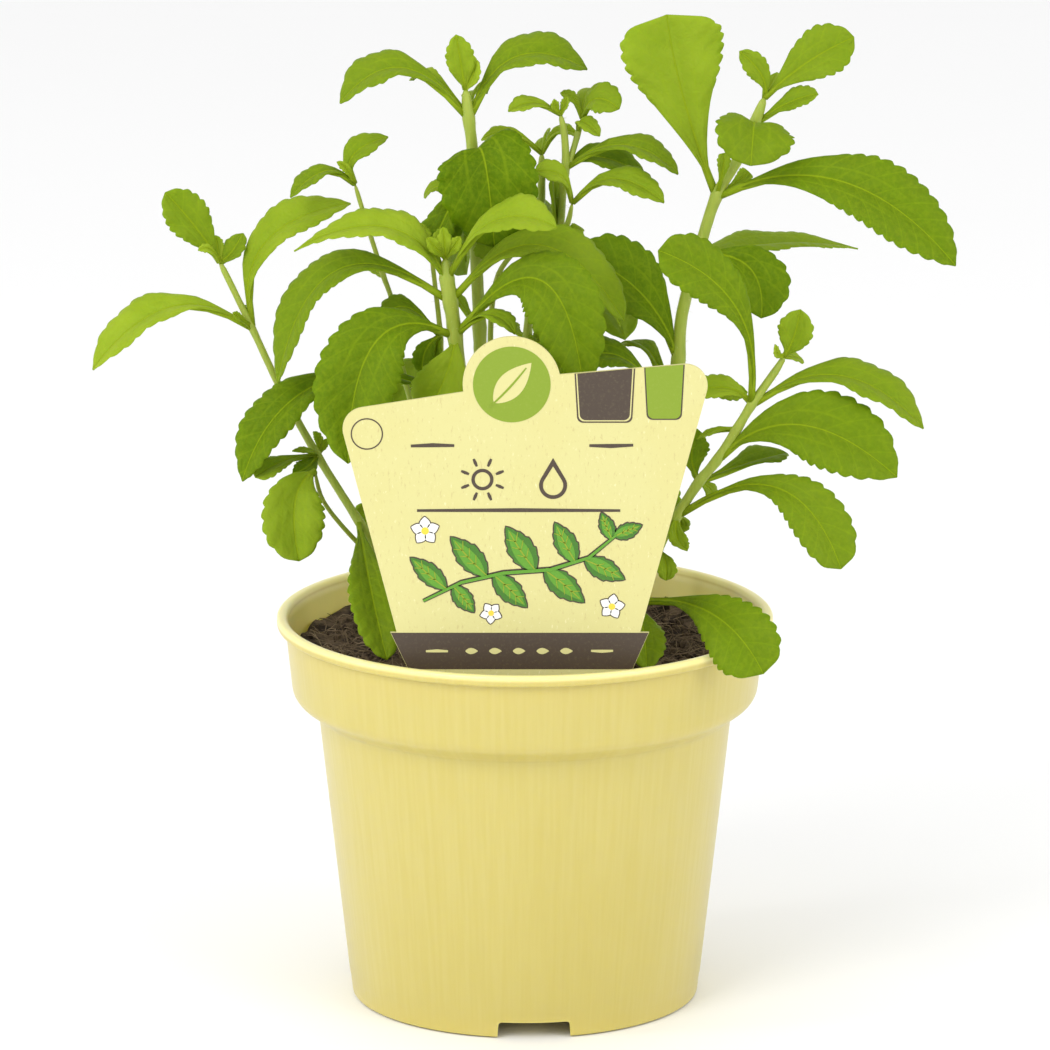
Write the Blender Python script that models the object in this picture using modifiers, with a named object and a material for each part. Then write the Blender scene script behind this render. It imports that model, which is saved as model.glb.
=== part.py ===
"""A stevia plant in a plastic nursery pot: pot, soil, a card plant label, and eleven leafy stems.

Metres, +Z up. The origin is the middle of the pot's foot. The viewer stands on the -Y side.
Places on the plant are written in millimetres as (right, up, back): where the point is seen, to the
right of the pot's axis and above the table, on the upright plane through the axis, and how far behind
that plane it lies. seen() turns them into places in space along the viewer's sight line.
"""

import math
import random

import bmesh
import bpy
from mathutils import Vector

MM = 0.001
EYE = Vector((0.0, -1850.0, 573.0))

# Pot
POT_HEIGHT = 94.3
LIP_RADIUS = 60.0
BAND_TOP_RADIUS = 57.8
BAND_FOOT_RADIUS = 56.2
BAND_FOOT = 76.2
WALL_TOP = 70.7
WALL_TOP_RADIUS = 50.1
FOOT_RADIUS = 42.1
WALL = 1.0
FLOOR = 4.0
FLOOR_THICKNESS = 1.3
FOOT_RING = 1.8
NOTCH_COUNT = 3
NOTCH_WIDTH = 17.6
NOTCH_AZIMUTH = 3.0
DRAIN_COUNT = 6
DRAIN_RADIUS = 3.5
DRAIN_CIRCLE = 27.0
POT_SIDES = 48

# Soil
SOIL_TOP = 84.6
SOIL_GAP = 0.3
SOIL_SIDES = 24
HOLE_GAP = 0.4

# Label
LABEL_BACK = -45.0
LABEL_THICKNESS = 0.7
LABEL_LOBE = (-3.1, 161.3, 11.5)
STAKE_HALF = 4.0
STAKE_FOOT = 56.0

# Plant
BLADE = 0.65
PETIOLE_HALF = 0.75
STEM_STEP = 11.0
PLAIN_WIDTH = 6.3

POT_COLOUR = (0.80, 0.68, 0.22)
SOIL_COLOUR = (0.045, 0.028, 0.018)
CARD_COLOUR = (0.86, 0.78, 0.36)
LEAF_COLOUR = (0.16, 0.30, 0.02)

# A stem is its points from the soil up, its diameter at the foot and at the top, its leaves, and its side
# shoots. A leaf is (the stem point that it grows from, the middle of its midrib, its tip, width, turn,
# outline). The turn is 0 where the blade faces the viewer, 90 where its upper side looks straight up.
STEMS = {
    "stem_left": {
        "points": [(-18, 62, 2), (-22, 86, 2), (-32, 104, 3), (-40, 117, 4), (-50, 133.5, 5),
                   (-58.5, 149.5, 5),
                   (-65.5, 165, 4), (-73, 181, 4)],
        "thick": (2.6, 1.5),
        "leaves": [
            (3, (-37.5, 101, -20), (-33.5, 82.5, -35), 12, 15, "oval"),
            (4, (-57.5, 132.2, -4), (-65, 128, -10), 6.4, 42, "blunt"),
            (4, (-52, 134.5, 1), (-56, 134.5, -2), 2.4, 60, "bud"),
            (4, (-52.5, 130.5, -2), (-56, 129, -6), 4.5, 20, "bud"),
            (4, (-49.6, 137, 8), (-51, 139.3, 9), 2.2, 20, "bud"),
            (4, (-48.6, 135.5, 7), (-47.8, 137.6, 8), 2.0, 20, "bud"),
            (6, (-85, 169.8, -2), (-103.7, 154.5, -6), 13.5, 57, "lance"),
            (6, (-62.2, 185.4, 6), (-41.6, 195.2, 12), 12.5, 46, "lance"),
            (6, (-68.5, 167.5, 0), (-70, 168.6, -1), 1.6, 20, "bud"),
            (6, (-67.2, 169, 5), (-67.8, 170.6, 6), 1.6, 20, "bud"),
            (7, (-79, 189.8, 3), (-85.9, 198, 2), 10.5, 12, "oval"),
            (7, (-70.6, 182.8, 6), (-67.3, 188, 9), 5.5, 30, "oval"),
            (7, (-75.5, 184, 0), (-78.2, 183.8, -2), 2.2, 40, "bud"),
            (7, (-73.5, 184.5, 7), (-74, 187.5, 9), 3, 10, "bud"),
        ],
        "shoots": [
            {"points": [(-33, 105, 3), (-41.5, 113, -1), (-48.5, 122, -5),
                        (-50.6, 129.5, -7)], "thick": (1.3, 1.0),
             "leaves": [(3, (-55.4, 122, -13), (-54.5, 107.2, -15), 15, 5, "round")]},
        ],
    },
    "stem_left_thin": {
        "points": [(-12, 62, 15), (-14, 88, 15), (-20, 117, 14), (-27.5, 147, 13), (-29.3, 154, 13),
                   (-31.5, 170, 13),
                   (-34, 178, 12), (-38, 191, 11), (-40.6, 200, 10)],
        "thick": (1.8, 1.1),
        "leaves": [
            (4, (-54, 148.5, -4), (-68, 127, -10), 13, 38, "lance"),
            (8, (-47.5, 203, 7), (-56, 196.7, 4), 7, 62, "lance"),
            (8, (-41, 206.8, 11), (-32.6, 211.4, 14), 7.5, 40, "lance"),
            (8, (-42.5, 203.5, 8), (-44.9, 205.4, 7), 2, 20, "bud"),
            (6, (-35.6, 178.6, 16), (-36.4, 181, 20), 3, 30, "bud"),
        ],
        "shoots": [],
    },
    "stem_left_inner": {
        "points": [(-12, 62, -5), (-14, 88, -4), (-17, 122, -2), (-19.8, 148, -1), (-20.3, 163, 0),
                   (-21.4, 174, -4),
                   (-22.4, 183, -7)],
        "thick": (2.0, 1.1),
        "leaves": [
            (3, (-27, 151.4, -4), (-34.5, 153, -6), 5, 62, "lance"),
            (4, (-28.5, 169.8, -2), (-33.8, 166.8, -3), 7, 48, "broad"),
            (4, (-23.8, 159.4, -5), (-24.6, 153.8, -6), 5, 10, "oval"),
            (4, (-21.6, 159, -3), (-21.4, 155.4, -4), 3.6, 10, "bud"),
            (6, (-24.4, 186.6, -5), (-25, 190.6, -4), 4.4, 15, "bud"),
            (6, (-20.6, 186, -9), (-18.6, 189.2, -11), 4, 30, "bud"),
        ],
        "shoots": [],
    },
    "stem_front": {
        "points": [(-9, 62, -13), (-11, 86, -13), (-13.5, 122, -13), (-15.4, 150, -13), (-16.8, 163, -13),
                   (-17.9, 171.5, -13), (-18.7, 177, -13), (-19, 182, -13)],
        "thick": (4.2, 3.2),
        "leaves": [
            (4, (-35.6, 161.6, -24), (-42.6, 131.4, -30), 20, 12, "broad"),
            (4, (3.4, 176.6, -24), (14, 150.5, -32), 18, 16, "broad"),
            (4, (-9, 168, -20), (-2.4, 163.3, -25), 6, 70, "lance"),
            (5, (-44.6, 179, -10), (-59.3, 151.2, -12), 15, 54, "lance"),
            (5, (3.4, 185, -14), (23.6, 166.5, -16), 14.5, 45, "broad"),
            (6, (-33.6, 189.4, -16), (-55.2, 183.6, -16), 12.5, 54, "tail"),
            (6, (-7.5, 190.8, -22), (7.6, 189.2, -26), 12.5, 58, "lance"),
            (7, (-19.2, 185.2, -15), (-19.6, 189.6, -15), 3.4, 5, "bud"),
            (7, (-21.4, 184.4, -16), (-23.4, 187, -17), 3.2, 15, "bud"),
            (7, (-17, 184.6, -15), (-15.4, 187.2, -16), 3.2, 15, "bud"),
            (4, (-18.6, 154, -17), (-24.6, 141.6, -17), 13, 22, "broad"),
            (2, (-24, 132, -22), (-28, 112, -30), 13, 30, "broad"),
            (2, (-2, 132, -22), (6, 112, -31), 13, 30, "broad"),
        ],
        "shoots": [],
    },
    "stem_centre": {
        "points": [(-4, 62, 3), (-6, 90, 4), (-9, 125, 4), (-10.6, 152, 4), (-10.9, 165, 4), (-12, 189, 4),
                   (-12.4, 206, 4), (-13.4, 216, 4), (-14.2, 223, 4)],
        "thick": (3.9, 2.6),
        "leaves": [
            (7, (-29.2, 228, 2), (-44, 219.5, 0), 13, 58, "lance"),
            (7, (-2.4, 230.6, 6), (14.8, 227.7, 8), 14.5, 54, "lance"),
            (7, (-12.5, 222, 11), (-9, 222, 20), 7, 70, "lance"),
            (8, (-15.3, 229.5, 2), (-16.4, 236.2, 1), 6.8, 4, "bud"),
            (8, (-13.8, 227.5, 7), (-13, 231.5, 9), 6, 10, "bud"),
            (8, (-12.5, 226, 3), (-11.3, 230, 2), 4, 25, "bud"),
            (6, (-9.7, 206, -5), (-7.3, 184.5, -5), 24, 0, "round"),
            (6, (-19, 192, -1), (-22.6, 184, -4), 9, 30, "broad"),
            (5, (-8.6, 187, 2), (-7, 181, 2), 10, 10, "broad"),
            (5, (-16, 192.5, 3), (-17.6, 185, 1), 6, 15, "broad"),
            (5, (-18.6, 198.6, 6), (-24, 196.6, 8), 5, 45, "blunt"),
            (7, (-21, 225.2, 9), (-26.6, 225.2, 13), 6.4, 50, "blunt"),
            (5, (-14, 190, 24), (-14, 178, 40), 15, 110, "broad"),
            (4, (-15, 170, 10), (-19, 176, 14), 5, 60, "lance"),
            (3, (-22, 155, 22), (-30, 141, 36), 14, 130, "broad"),
            (3, (0, 156, 24), (8, 141, 38), 14, 130, "broad"),
        ],
        "shoots": [],
    },
    "stem_mid": {
        "points": [(1, 62, 13), (0, 90, 14), (-0.5, 130, 15), (0.6, 163, 15), (2.4, 182, 15), (3.8, 196, 15),
                   (4, 207.5, 15)],
        "thick": (2.6, 1.8),
        "leaves": [
            (6, (-3, 212.2, 14), (-10.4, 210.6, 14), 5, 58, "lance"),
            (6, (7.6, 212.6, 15), (12.6, 211.6, 15), 5, 62, "lance"),
            (6, (4.4, 211, 20), (5.4, 211, 26), 5, 70, "bud"),
            (3, (4.6, 162, 9), (6.2, 168.4, 8), 7.5, 5, "round"),
            (3, (-3, 164.5, 20), (-4.5, 166.5, 26), 5, 60, "lance"),
            (4, (8, 178, 34), (12, 168, 47), 15, 125, "broad"),
            (5, (4, 196, 28), (6, 190, 40), 10, 110, "lance"),
        ],
        "shoots": [
            {"points": [(0, 120, 15), (-5, 140, 17), (-8.2, 158, 18), (-7, 176, 18), (-2, 184.5, 18),
                        (0.6, 190, 19)],
             "thick": (1.7, 1.2),
             "leaves": [(5, (-1, 194, 20), (-4, 196, 22), 4, 40, "bud"), (5, (1.6, 193, 22),
                                                                          (2, 196, 25), 4, 40, "bud")]},
        ],
    },
    "stem_mid_right": {
        "points": [(9, 62, 8), (8, 90, 11), (5.6, 130, 18), (6, 168, 20), (8.2, 187, 14), (9, 198, 10),
                   (9.7, 204, 8),
                   (9.4, 212, 8), (8.4, 217, 8)],
        "thick": (3.0, 1.7),
        "leaves": [
            (6, (23.5, 209.4, 6), (36.5, 202.3, 4), 9.5, 58, "lance"),
            (6, (17, 206.6, 11), (28.6, 202, 13), 10, 50, "broad"),
            (8, (2.4, 219.6, 6), (-4, 217.6, 4), 5.2, 52, "lance"),
            (8, (7.2, 218.8, 7), (7, 220.6, 6), 2, 10, "bud"),
            (8, (9.4, 219, 8), (10, 221.4, 8), 2.2, 30, "bud"),
            (4, (11, 188.6, 11), (13.8, 189, 13), 3.6, 45, "lance"),
            (4, (6.8, 199, 12), (7.6, 201.6, 18), 6, 60, "bud"),
            (3, (17, 172, 34), (24, 162, 48), 14, 125, "broad"),
        ],
        "shoots": [
            {"points": [(9.7, 203, 8), (11.4, 208, 9), (12.8, 213, 10), (13.6, 216, 10)], "thick": (1.6, 1.3),
             "leaves": [(3, (17, 220.6, 6), (22.5, 218.2, 3), 8, 35, "oval"),
                        (3, (11.6, 220.4, 12), (8.4, 222, 13), 3.4, 40, "lance"),
                        (3, (14.8, 222, 16), (18, 222.6, 22), 7, 60, "lance"),
                        (2, (13.6, 215.2, 7), (17.8, 211.6, 5), 5, 55, "broad")]},
            {"points": [(8.2, 187, 8), (10.2, 190.5, 6), (11.3, 195.5, 5)], "thick": (1.6, 1.3),
             "leaves": [(2, (21, 201.2, 2), (33.2, 195.4, -2), 9, 52, "lance"),
                        (2, (8.6, 202, 3), (2.2, 203, 1), 6, 45, "lance")]},
        ],
    },
    "stem_right_tall": {
        "points": [(14, 62, 7), (19, 86, 7), (28, 116, 5), (34.6, 144, 3), (36.8, 157, 2), (37.6, 168, 2),
                   (41.4, 183, 2), (45.7, 197, 2), (51, 206.4, 1), (54.6, 214.5, 0), (57, 221, 0)],
        "thick": (4.0, 2.4),
        "leaves": [
            (7, (37.8, 220.5, 2), (33.6, 241, -1), 25, 4, "spoon"),
            (7, (75.4, 200.6, -8), (103, 180, -12), 17.5, 24, "lance"),
            (7, (47, 202.5, -2), (47.6, 207.6, -3), 3, 0, "spoon"),
            (7, (50.4, 200.4, 5), (53.4, 203, 7), 3.6, 10, "spoon"),
            (9, (54.4, 213, -9), (53.8, 204.4, -14), 19, -10, "round"),
            (9, (62.4, 219.4, -1), (69.8, 221.8, -3), 7, 48, "lance"),
            (10, (56.2, 226.4, -1), (51, 232.2, -3), 5.6, 15, "broad"),
            (10, (67, 229.4, 3), (78.2, 235.6, 5), 12.5, 12, "broad"),
            (10, (58.6, 224, 4), (60, 227, 8), 4, 40, "bud"),
            (6, (61.4, 185.4, 20), (79.6, 184.2, 32), 12, 68, "tail"),
            (6, (53.6, 179.6, 0), (56.6, 167.2, -4), 14.5, 16, "broad"),
            (4, (27.6, 173.4, -1), (12, 183, -2), 18, 28, "broad"),
            (4, (45, 150.6, 8), (53.5, 149, 10), 6, 40, "lance"),
            (3, (22, 158, -6), (8.6, 153, -9), 10.5, 48, "lance"),
            (3, (30, 158.6, 8), (22.4, 159.6, 13), 8, 60, "lance"),
        ],
        "shoots": [],
    },
    "stem_right_low": {
        "points": [(20, 62, -8), (22.5, 84, -8), (26, 97, -9), (32, 110.5, -10), (36.6, 118.5, -11),
                   (42, 127, -12),
                   (46, 132, -12), (51, 140, -12), (54.5, 146, -12), (60.6, 155, -12), (62.2, 158, -12)],
        "thick": (3.2, 1.9),
        "leaves": [
            (2, (44.6, 94.4, -33), (57.8, 79.0, -47), 17, 10, "blunt"),
            (2, (28.6, 90, -22), (29.4, 80, -35), 9.5, 10, "broad"),
            (3, (33.8, 107, -16), (34, 102.4, -18), 5, 20, "broad"),
            (4, (60.5, 125.4, -22), (76.3, 105.2, -30), 14, 26, "blunt"),
            (4, (37.4, 116.5, -6), (36.6, 113.6, -4), 5, 25, "bud"),
            (4, (36.6, 113, -16), (39.2, 109.8, -20), 5, 30, "bud"),
            (5, (54, 131.6, -5), (63.2, 133.8, 0), 11, 62, "lance"),
            (5, (40, 133, -4), (41.5, 140, -2), 8, 20, "broad"),
            (5, (44.5, 124.8, -8), (44.6, 122.4, -6), 4, 30, "bud"),
            (6, (65.8, 141, -16), (89.6, 128, -20), 19, 14, "lance"),
            (7, (46.5, 139.6, -9), (41.4, 137.4, -7), 3.2, 60, "lance"),
            (8, (50.6, 169.6, -20), (31.8, 183.8, -24), 14, 28, "blunt"),
            (8, (75.4, 153, -12), (95.8, 140, -14), 14, 55, "lance"),
            (8, (48.6, 150, -8), (39, 148.6, -4), 7, 30, "lance"),
            (10, (64.4, 162.4, -13), (66, 169.4, -14), 8.4, 4, "oval"),
            (10, (60.4, 158.6, -15), (60, 160.8, -17), 2.2, 30, "bud"),
            (10, (64.4, 157.6, -9), (66.8, 156.6, -6), 3.6, 55, "bud"),
        ],
        "shoots": [],
    },
    "stem_back_left": {
        "points": [(-15, 62, 26), (-18, 88, 28), (-21, 114, 30), (-22.5, 131, 31), (-23, 142, 31)],
        "thick": (3.0, 2.0),
        "leaves": [
            (2, (-32, 120, 36), (-38, 112, 40), 12, 120, "lance"),
            (2, (-15, 122, 42), (-14, 113, 53), 13, 120, "broad"),
            (3, (-29, 134, 44), (-34, 126, 55), 14, 120, "lance"),
            (3, (-14, 137, 36), (-9, 133, 42), 9, 110, "lance"),
            (4, (-24, 146, 28), (-25, 148.6, 26), 5, 30, "bud"),
            (4, (-21, 145, 35), (-20, 147, 40), 6, 80, "bud"),
        ],
        "shoots": [],
    },
    "stem_back_right": {
        "points": [(11, 62, 25), (15, 88, 28), (18.5, 115, 31), (20.5, 132, 32), (21.4, 142, 32)],
        "thick": (3.0, 2.0),
        "leaves": [
            (2, (28, 123, 40), (35, 116, 48), 13, 120, "lance"),
            (2, (9, 120, 42), (3, 110, 52), 13, 120, "broad"),
            (3, (22, 136, 44), (23, 126, 55), 13, 120, "lance"),
            (3, (32, 140, 34), (38, 136, 36), 9, 80, "lance"),
            (4, (22, 146, 30), (22.6, 148.6, 28), 5, 30, "bud"),
            (4, (21, 145, 36), (20, 146, 41), 6, 80, "bud"),
        ],
        "shoots": [],
    },
}

# An outline is how fast the leaf narrows to the stalk and to the tip, and where its teeth start.
OUTLINES = {
    "lance": (2.00, 0.90, 0.46),
    "broad": (1.70, 0.75, 0.38),
    "blunt": (2.40, 0.55, 0.46),
    "round": (1.20, 0.62, 0.28),
    "oval": (1.45, 0.72, 0.30),
    "spoon": (2.15, 0.25, 0.52),
    "tail": (0.90, 1.25, 0.20),
    "bud": (1.10, 0.80, 0.35),
}
TOOTH = 0.035
TOOTH_LEAST = 0.35
FOLD = math.radians(18)


def clear_scene():
    for obj in list(bpy.data.objects):
        bpy.data.objects.remove(obj)


def new_collection(name):
    made = bpy.data.collections.new(name)
    bpy.context.scene.collection.children.link(made)
    return made


def new_material(name, colour, roughness):
    made = bpy.data.materials.new(name)
    made.use_nodes = True
    shader = made.node_tree.nodes["Principled BSDF"]
    shader.inputs["Base Color"].default_value = (*colour, 1.0)
    shader.inputs["Roughness"].default_value = roughness
    return made


def mesh_object(name, bm, collection, material=None):
    mesh = bpy.data.meshes.new(name)
    bm.to_mesh(mesh)
    bm.free()
    obj = bpy.data.objects.new(name, mesh)
    collection.objects.link(obj)
    if material:
        mesh.materials.append(material)
    return obj


def seen(place):
    """A place in space, in millimetres, of a point written as (right, up, back)."""
    right, up, back = place
    on_plane = Vector((right, 0.0, up))
    return EYE + (on_plane - EYE) * (1.0 + back / -EYE.y)


def freeze(obj):
    """Replaces the object's mesh with what its modifiers make of it."""
    graph = bpy.context.evaluated_depsgraph_get()
    mesh = bpy.data.meshes.new_from_object(obj.evaluated_get(graph))
    obj.modifiers.clear()
    obj.data = mesh


def smooth_line(points, step):
    """Points about a step apart on a smooth curve through the given ones, with each one's share along it."""
    line = []
    last = len(points) - 1
    for i in range(last):
        a, b = points[max(i - 1, 0)], points[i]
        c, d = points[i + 1], points[min(i + 2, last)]
        count = max(1, round((c - b).length / step))
        for k in range(count):
            t = k / count
            line.append(0.5 * ((2 * b) + (c - a) * t + (2 * a - 5 * b + 4 * c - d) * t * t
                               + (3 * b - a - 3 * c + d) * t ** 3))
    line.append(points[last])
    return line


def tube(name, points, thick, collection, extra=0.0, sides=1):
    """A closed tapering tube along the points, in millimetres, as a mesh. sides 1 makes it six-sided."""
    line = smooth_line(points, STEM_STEP)
    curve = bpy.data.curves.new(name, "CURVE")
    curve.dimensions = "3D"
    curve.bevel_depth = MM
    curve.bevel_resolution = sides
    curve.use_fill_caps = True
    spline = curve.splines.new("POLY")
    spline.points.add(len(line) - 1)
    for i, place in enumerate(line):
        share = i / (len(line) - 1)
        spline.points[i].co = (*(place * MM), 1.0)
        spline.points[i].radius = (thick[0] + (thick[1] - thick[0]) * share) / 2 + extra
    helper = bpy.data.objects.new(name + "_curve", curve)
    collection.objects.link(helper)
    graph = bpy.context.evaluated_depsgraph_get()
    mesh = bpy.data.meshes.new_from_object(helper.evaluated_get(graph))
    bpy.data.objects.remove(helper)
    bm = bmesh.new()
    bm.from_mesh(mesh)
    bmesh.ops.remove_doubles(bm, verts=bm.verts, dist=1e-6)
    return mesh_object(name, bm, collection)


def midrib(base, middle, tip, share):
    """Point and direction on the leaf's midrib, a curve through its base, middle and tip."""
    pull = middle * 2 - (base + tip) / 2
    point = base * (1 - share) ** 2 + pull * 2 * share * (1 - share) + tip * share ** 2
    heading = (pull - base) * (1 - share) + (tip - pull) * share
    return point, heading.normalized()


def square_to(vector, axis):
    return (vector - axis * vector.dot(axis)).normalized()


def facings(base, middle, tip, shares, turn):
    """The direction that the upper side looks in at each share of the midrib, with no twist between them."""
    centre = min(range(len(shares)), key=lambda i: abs(shares[i] - 0.5))
    headings = [midrib(base, middle, tip, s)[1] for s in shares]
    to_eye = square_to(EYE - middle, headings[centre])
    upward = headings[centre].cross(to_eye)
    if upward.z < 0:
        upward = -upward
    angle = math.radians(turn)
    looks = {centre: to_eye * math.cos(angle) + upward * math.sin(angle)}
    for i in range(centre + 1, len(shares)):
        looks[i] = square_to(looks[i - 1], headings[i])
    for i in range(centre - 1, -1, -1):
        looks[i] = square_to(looks[i + 1], headings[i])
    return [looks[i] for i in range(len(shares))]


def half_width(share, width, outline):
    """Half the blade's width at a share of its length, without teeth."""
    to_stalk, to_tip = OUTLINES[outline][:2]
    widest = to_stalk / (to_stalk + to_tip)
    rise = (share / widest) ** to_stalk
    fall = ((1 - share) / (1 - widest)) ** to_tip
    return max(width / 2 * rise * fall, PETIOLE_HALF * (1 - share))


def tooth_stations(outline, width):
    """Shares of the length at which the outline has a corner, each with its sign: -1 a notch, 1 a tooth."""
    if width < PLAIN_WIDTH:
        return [(0.0, 0), (0.4, 0), (0.8, 0)]
    start = OUTLINES[outline][2]
    count = 4 if width > 15.5 else 3 if width > 8.5 else 2
    step = (0.985 - start) / count
    stations = [(0.0, 0), (0.17, 0)]
    for k in range(count):
        notch = start + k * step
        stations.append((notch, -1 if k else 0))
        stations.append((notch + 0.72 * step, 1))
    return stations


def blade(name, base, middle, tip, width, turn, outline, collection):
    """One leaf as a thin closed blade, folded a little along its midrib, with a toothed edge."""
    stations = tooth_stations(outline, width)
    looks = facings(base, middle, tip, [s for s, _ in stations], turn)
    bm = bmesh.new()
    rows = []
    for (share, corner), look in zip(stations, looks):
        point, heading = midrib(base, middle, tip, share)
        side = heading.cross(look)
        half = half_width(share, width, outline)
        half += corner * min(max(TOOTH * width, TOOTH_LEAST), 0.3 * half)
        out = side * half * math.cos(FOLD)
        lift = look * half * math.sin(FOLD) * min(1.0, 3 * share)
        row = [bm.verts.new((point + lift - out) * MM), bm.verts.new(point * MM),
               bm.verts.new((point + lift + out) * MM)]
        rows.append(row)
    for low, high in zip(rows, rows[1:]):
        bm.faces.new((low[0], low[1], high[0]))
        bm.faces.new((low[1], high[1], high[0]))
        bm.faces.new((low[1], low[2], high[2]))
        bm.faces.new((low[1], high[2], high[1]))
    end = bm.verts.new(tip * MM)
    bm.faces.new((rows[-1][0], rows[-1][1], end))
    bm.faces.new((rows[-1][1], rows[-1][2], end))
    obj = mesh_object(name, bm, collection)
    skin = obj.modifiers.new("thickness", "SOLIDIFY")
    skin.thickness = BLADE * MM
    skin.offset = 0.0
    return obj


def leafy(name, plan, pieces):
    """A stem or side shoot with its leaves, each a loose object in the collection."""
    points = [seen(p) for p in plan["points"]]
    tube(name + "_stalk", points, plan["thick"], pieces)
    for i, (joint, middle, tip, width, turn, outline) in enumerate(plan["leaves"]):
        blade(f"{name}_leaf_{i}", points[joint], seen(middle), seen(tip), width, turn, outline, pieces)


def keep_outer_shell(obj):
    """Removes the small pockets that crossing leaves close off, so that only the outer surface is left."""
    bm = bmesh.new()
    bm.from_mesh(obj.data)
    left = set(bm.faces)
    shells = []
    while left:
        shell = [left.pop()]
        for face in shell:
            for edge in face.edges:
                for other in edge.link_faces:
                    if other in left and len(edge.link_faces) == 2:
                        left.discard(other)
                        shell.append(other)
        shells.append(shell)
    shells.sort(key=len)
    inner = [face for shell in shells[:-1] for face in shell]
    bmesh.ops.delete(bm, geom=inner, context="FACES")
    bm.to_mesh(obj.data)
    bm.free()


def build_stem(name, plan, parts, material):
    """A whole leafy stem, fused into one solid."""
    pieces = new_collection(name + "_pieces")
    leafy(name, plan, pieces)
    for i, shoot in enumerate(plan["shoots"]):
        leafy(f"{name}_shoot_{i}", shoot, pieces)
    stalk = pieces.objects[name + "_stalk"]
    pieces.objects.unlink(stalk)
    parts.objects.link(stalk)
    stalk.name = name
    join = stalk.modifiers.new("join", "BOOLEAN")
    join.operation = "UNION"
    join.operand_type = "COLLECTION"
    join.collection = pieces
    join.solver = "MANIFOLD"
    freeze(stalk)
    keep_outer_shell(stalk)
    for obj in list(pieces.objects):
        bpy.data.objects.remove(obj)
    bpy.data.collections.remove(pieces)
    stalk.data.materials.clear()
    stalk.data.materials.append(material)
    stalk.data.shade_smooth()
    stalk.data.set_sharp_from_angle(angle=math.radians(35))
    return stalk


def outer_radius(z):
    return FOOT_RADIUS + (WALL_TOP_RADIUS - FOOT_RADIUS) * z / WALL_TOP


def pot_profile():
    """The pot's section, from the middle of the floor's underside round the wall to the floor's top."""
    floor_top = FLOOR + FLOOR_THICKNESS
    outside = [
        (FOOT_RADIUS - FOOT_RING - 0.4, FLOOR),
        (FOOT_RADIUS - FOOT_RING - 0.2, 0.0),
        (FOOT_RADIUS - 0.4, 0.0),
        (outer_radius(0.6), 0.6),
        (outer_radius(WALL_TOP), WALL_TOP),
        (BAND_FOOT_RADIUS - 2.2, BAND_FOOT - 3.2),
        (BAND_FOOT_RADIUS - 0.3, BAND_FOOT - 1.4),
        (BAND_FOOT_RADIUS, BAND_FOOT + 0.6),
        (BAND_TOP_RADIUS, POT_HEIGHT - 4.2),
        (LIP_RADIUS - 0.5, POT_HEIGHT - 3.2),
        (LIP_RADIUS, POT_HEIGHT - 1.8),
        (LIP_RADIUS - 0.8, POT_HEIGHT),
    ]
    inside = [
        (LIP_RADIUS - 2.0, POT_HEIGHT - 0.1),
        (BAND_TOP_RADIUS - WALL, POT_HEIGHT - 2.2),
        (BAND_FOOT_RADIUS - WALL, BAND_FOOT + 0.6),
        (BAND_FOOT_RADIUS - WALL - 1.2, BAND_FOOT - 1.4),
        (WALL_TOP_RADIUS - WALL, WALL_TOP + 0.9),
        (outer_radius(floor_top) - WALL, floor_top),
    ]
    return [(0.0, FLOOR), *outside, *inside, (0.0, floor_top)]


def turned(name, profile, sides, collection, material=None):
    """A solid of revolution about the pot's axis, from a section in millimetres."""
    bm = bmesh.new()
    verts = [bm.verts.new((r * MM, 0.0, z * MM)) for r, z in reversed(profile)]
    for a, b in zip(verts, verts[1:]):
        bm.edges.new((a, b))
    obj = mesh_object(name, bm, collection, material)
    screw = obj.modifiers.new("turn", "SCREW")
    screw.steps = screw.render_steps = sides
    screw.use_merge_vertices = True
    screw.merge_threshold = 1e-5
    screw.use_smooth_shade = True
    return obj


def cylinder(name, radius, low, high, place, collection, sides=20):
    bm = bmesh.new()
    bmesh.ops.create_cone(bm, cap_ends=True, segments=sides, radius1=radius * MM, radius2=radius * MM,
                          depth=(high - low) * MM)
    obj = mesh_object(name, bm, collection)
    obj.location = (place[0] * MM, place[1] * MM, (low + high) / 2 * MM)
    return obj


def box(name, size, place, azimuth, collection):
    bm = bmesh.new()
    bmesh.ops.create_cube(bm, size=1.0)
    bmesh.ops.scale(bm, vec=[s * MM for s in size], verts=bm.verts)
    obj = mesh_object(name, bm, collection)
    obj.location = [p * MM for p in place]
    obj.rotation_euler.z = azimuth
    return obj


def hide_helper(obj):
    obj.hide_render = True
    obj.display_type = "WIRE"


def cut(obj, cutters):
    """Cuts every cutter out of the object, and removes the cutters."""
    for cutter in cutters:
        hide_helper(cutter)
        knife = obj.modifiers.new("cut", "BOOLEAN")
        knife.operation = "DIFFERENCE"
        knife.object = cutter
    freeze(obj)
    for cutter in cutters:
        bpy.data.objects.remove(cutter)


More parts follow.
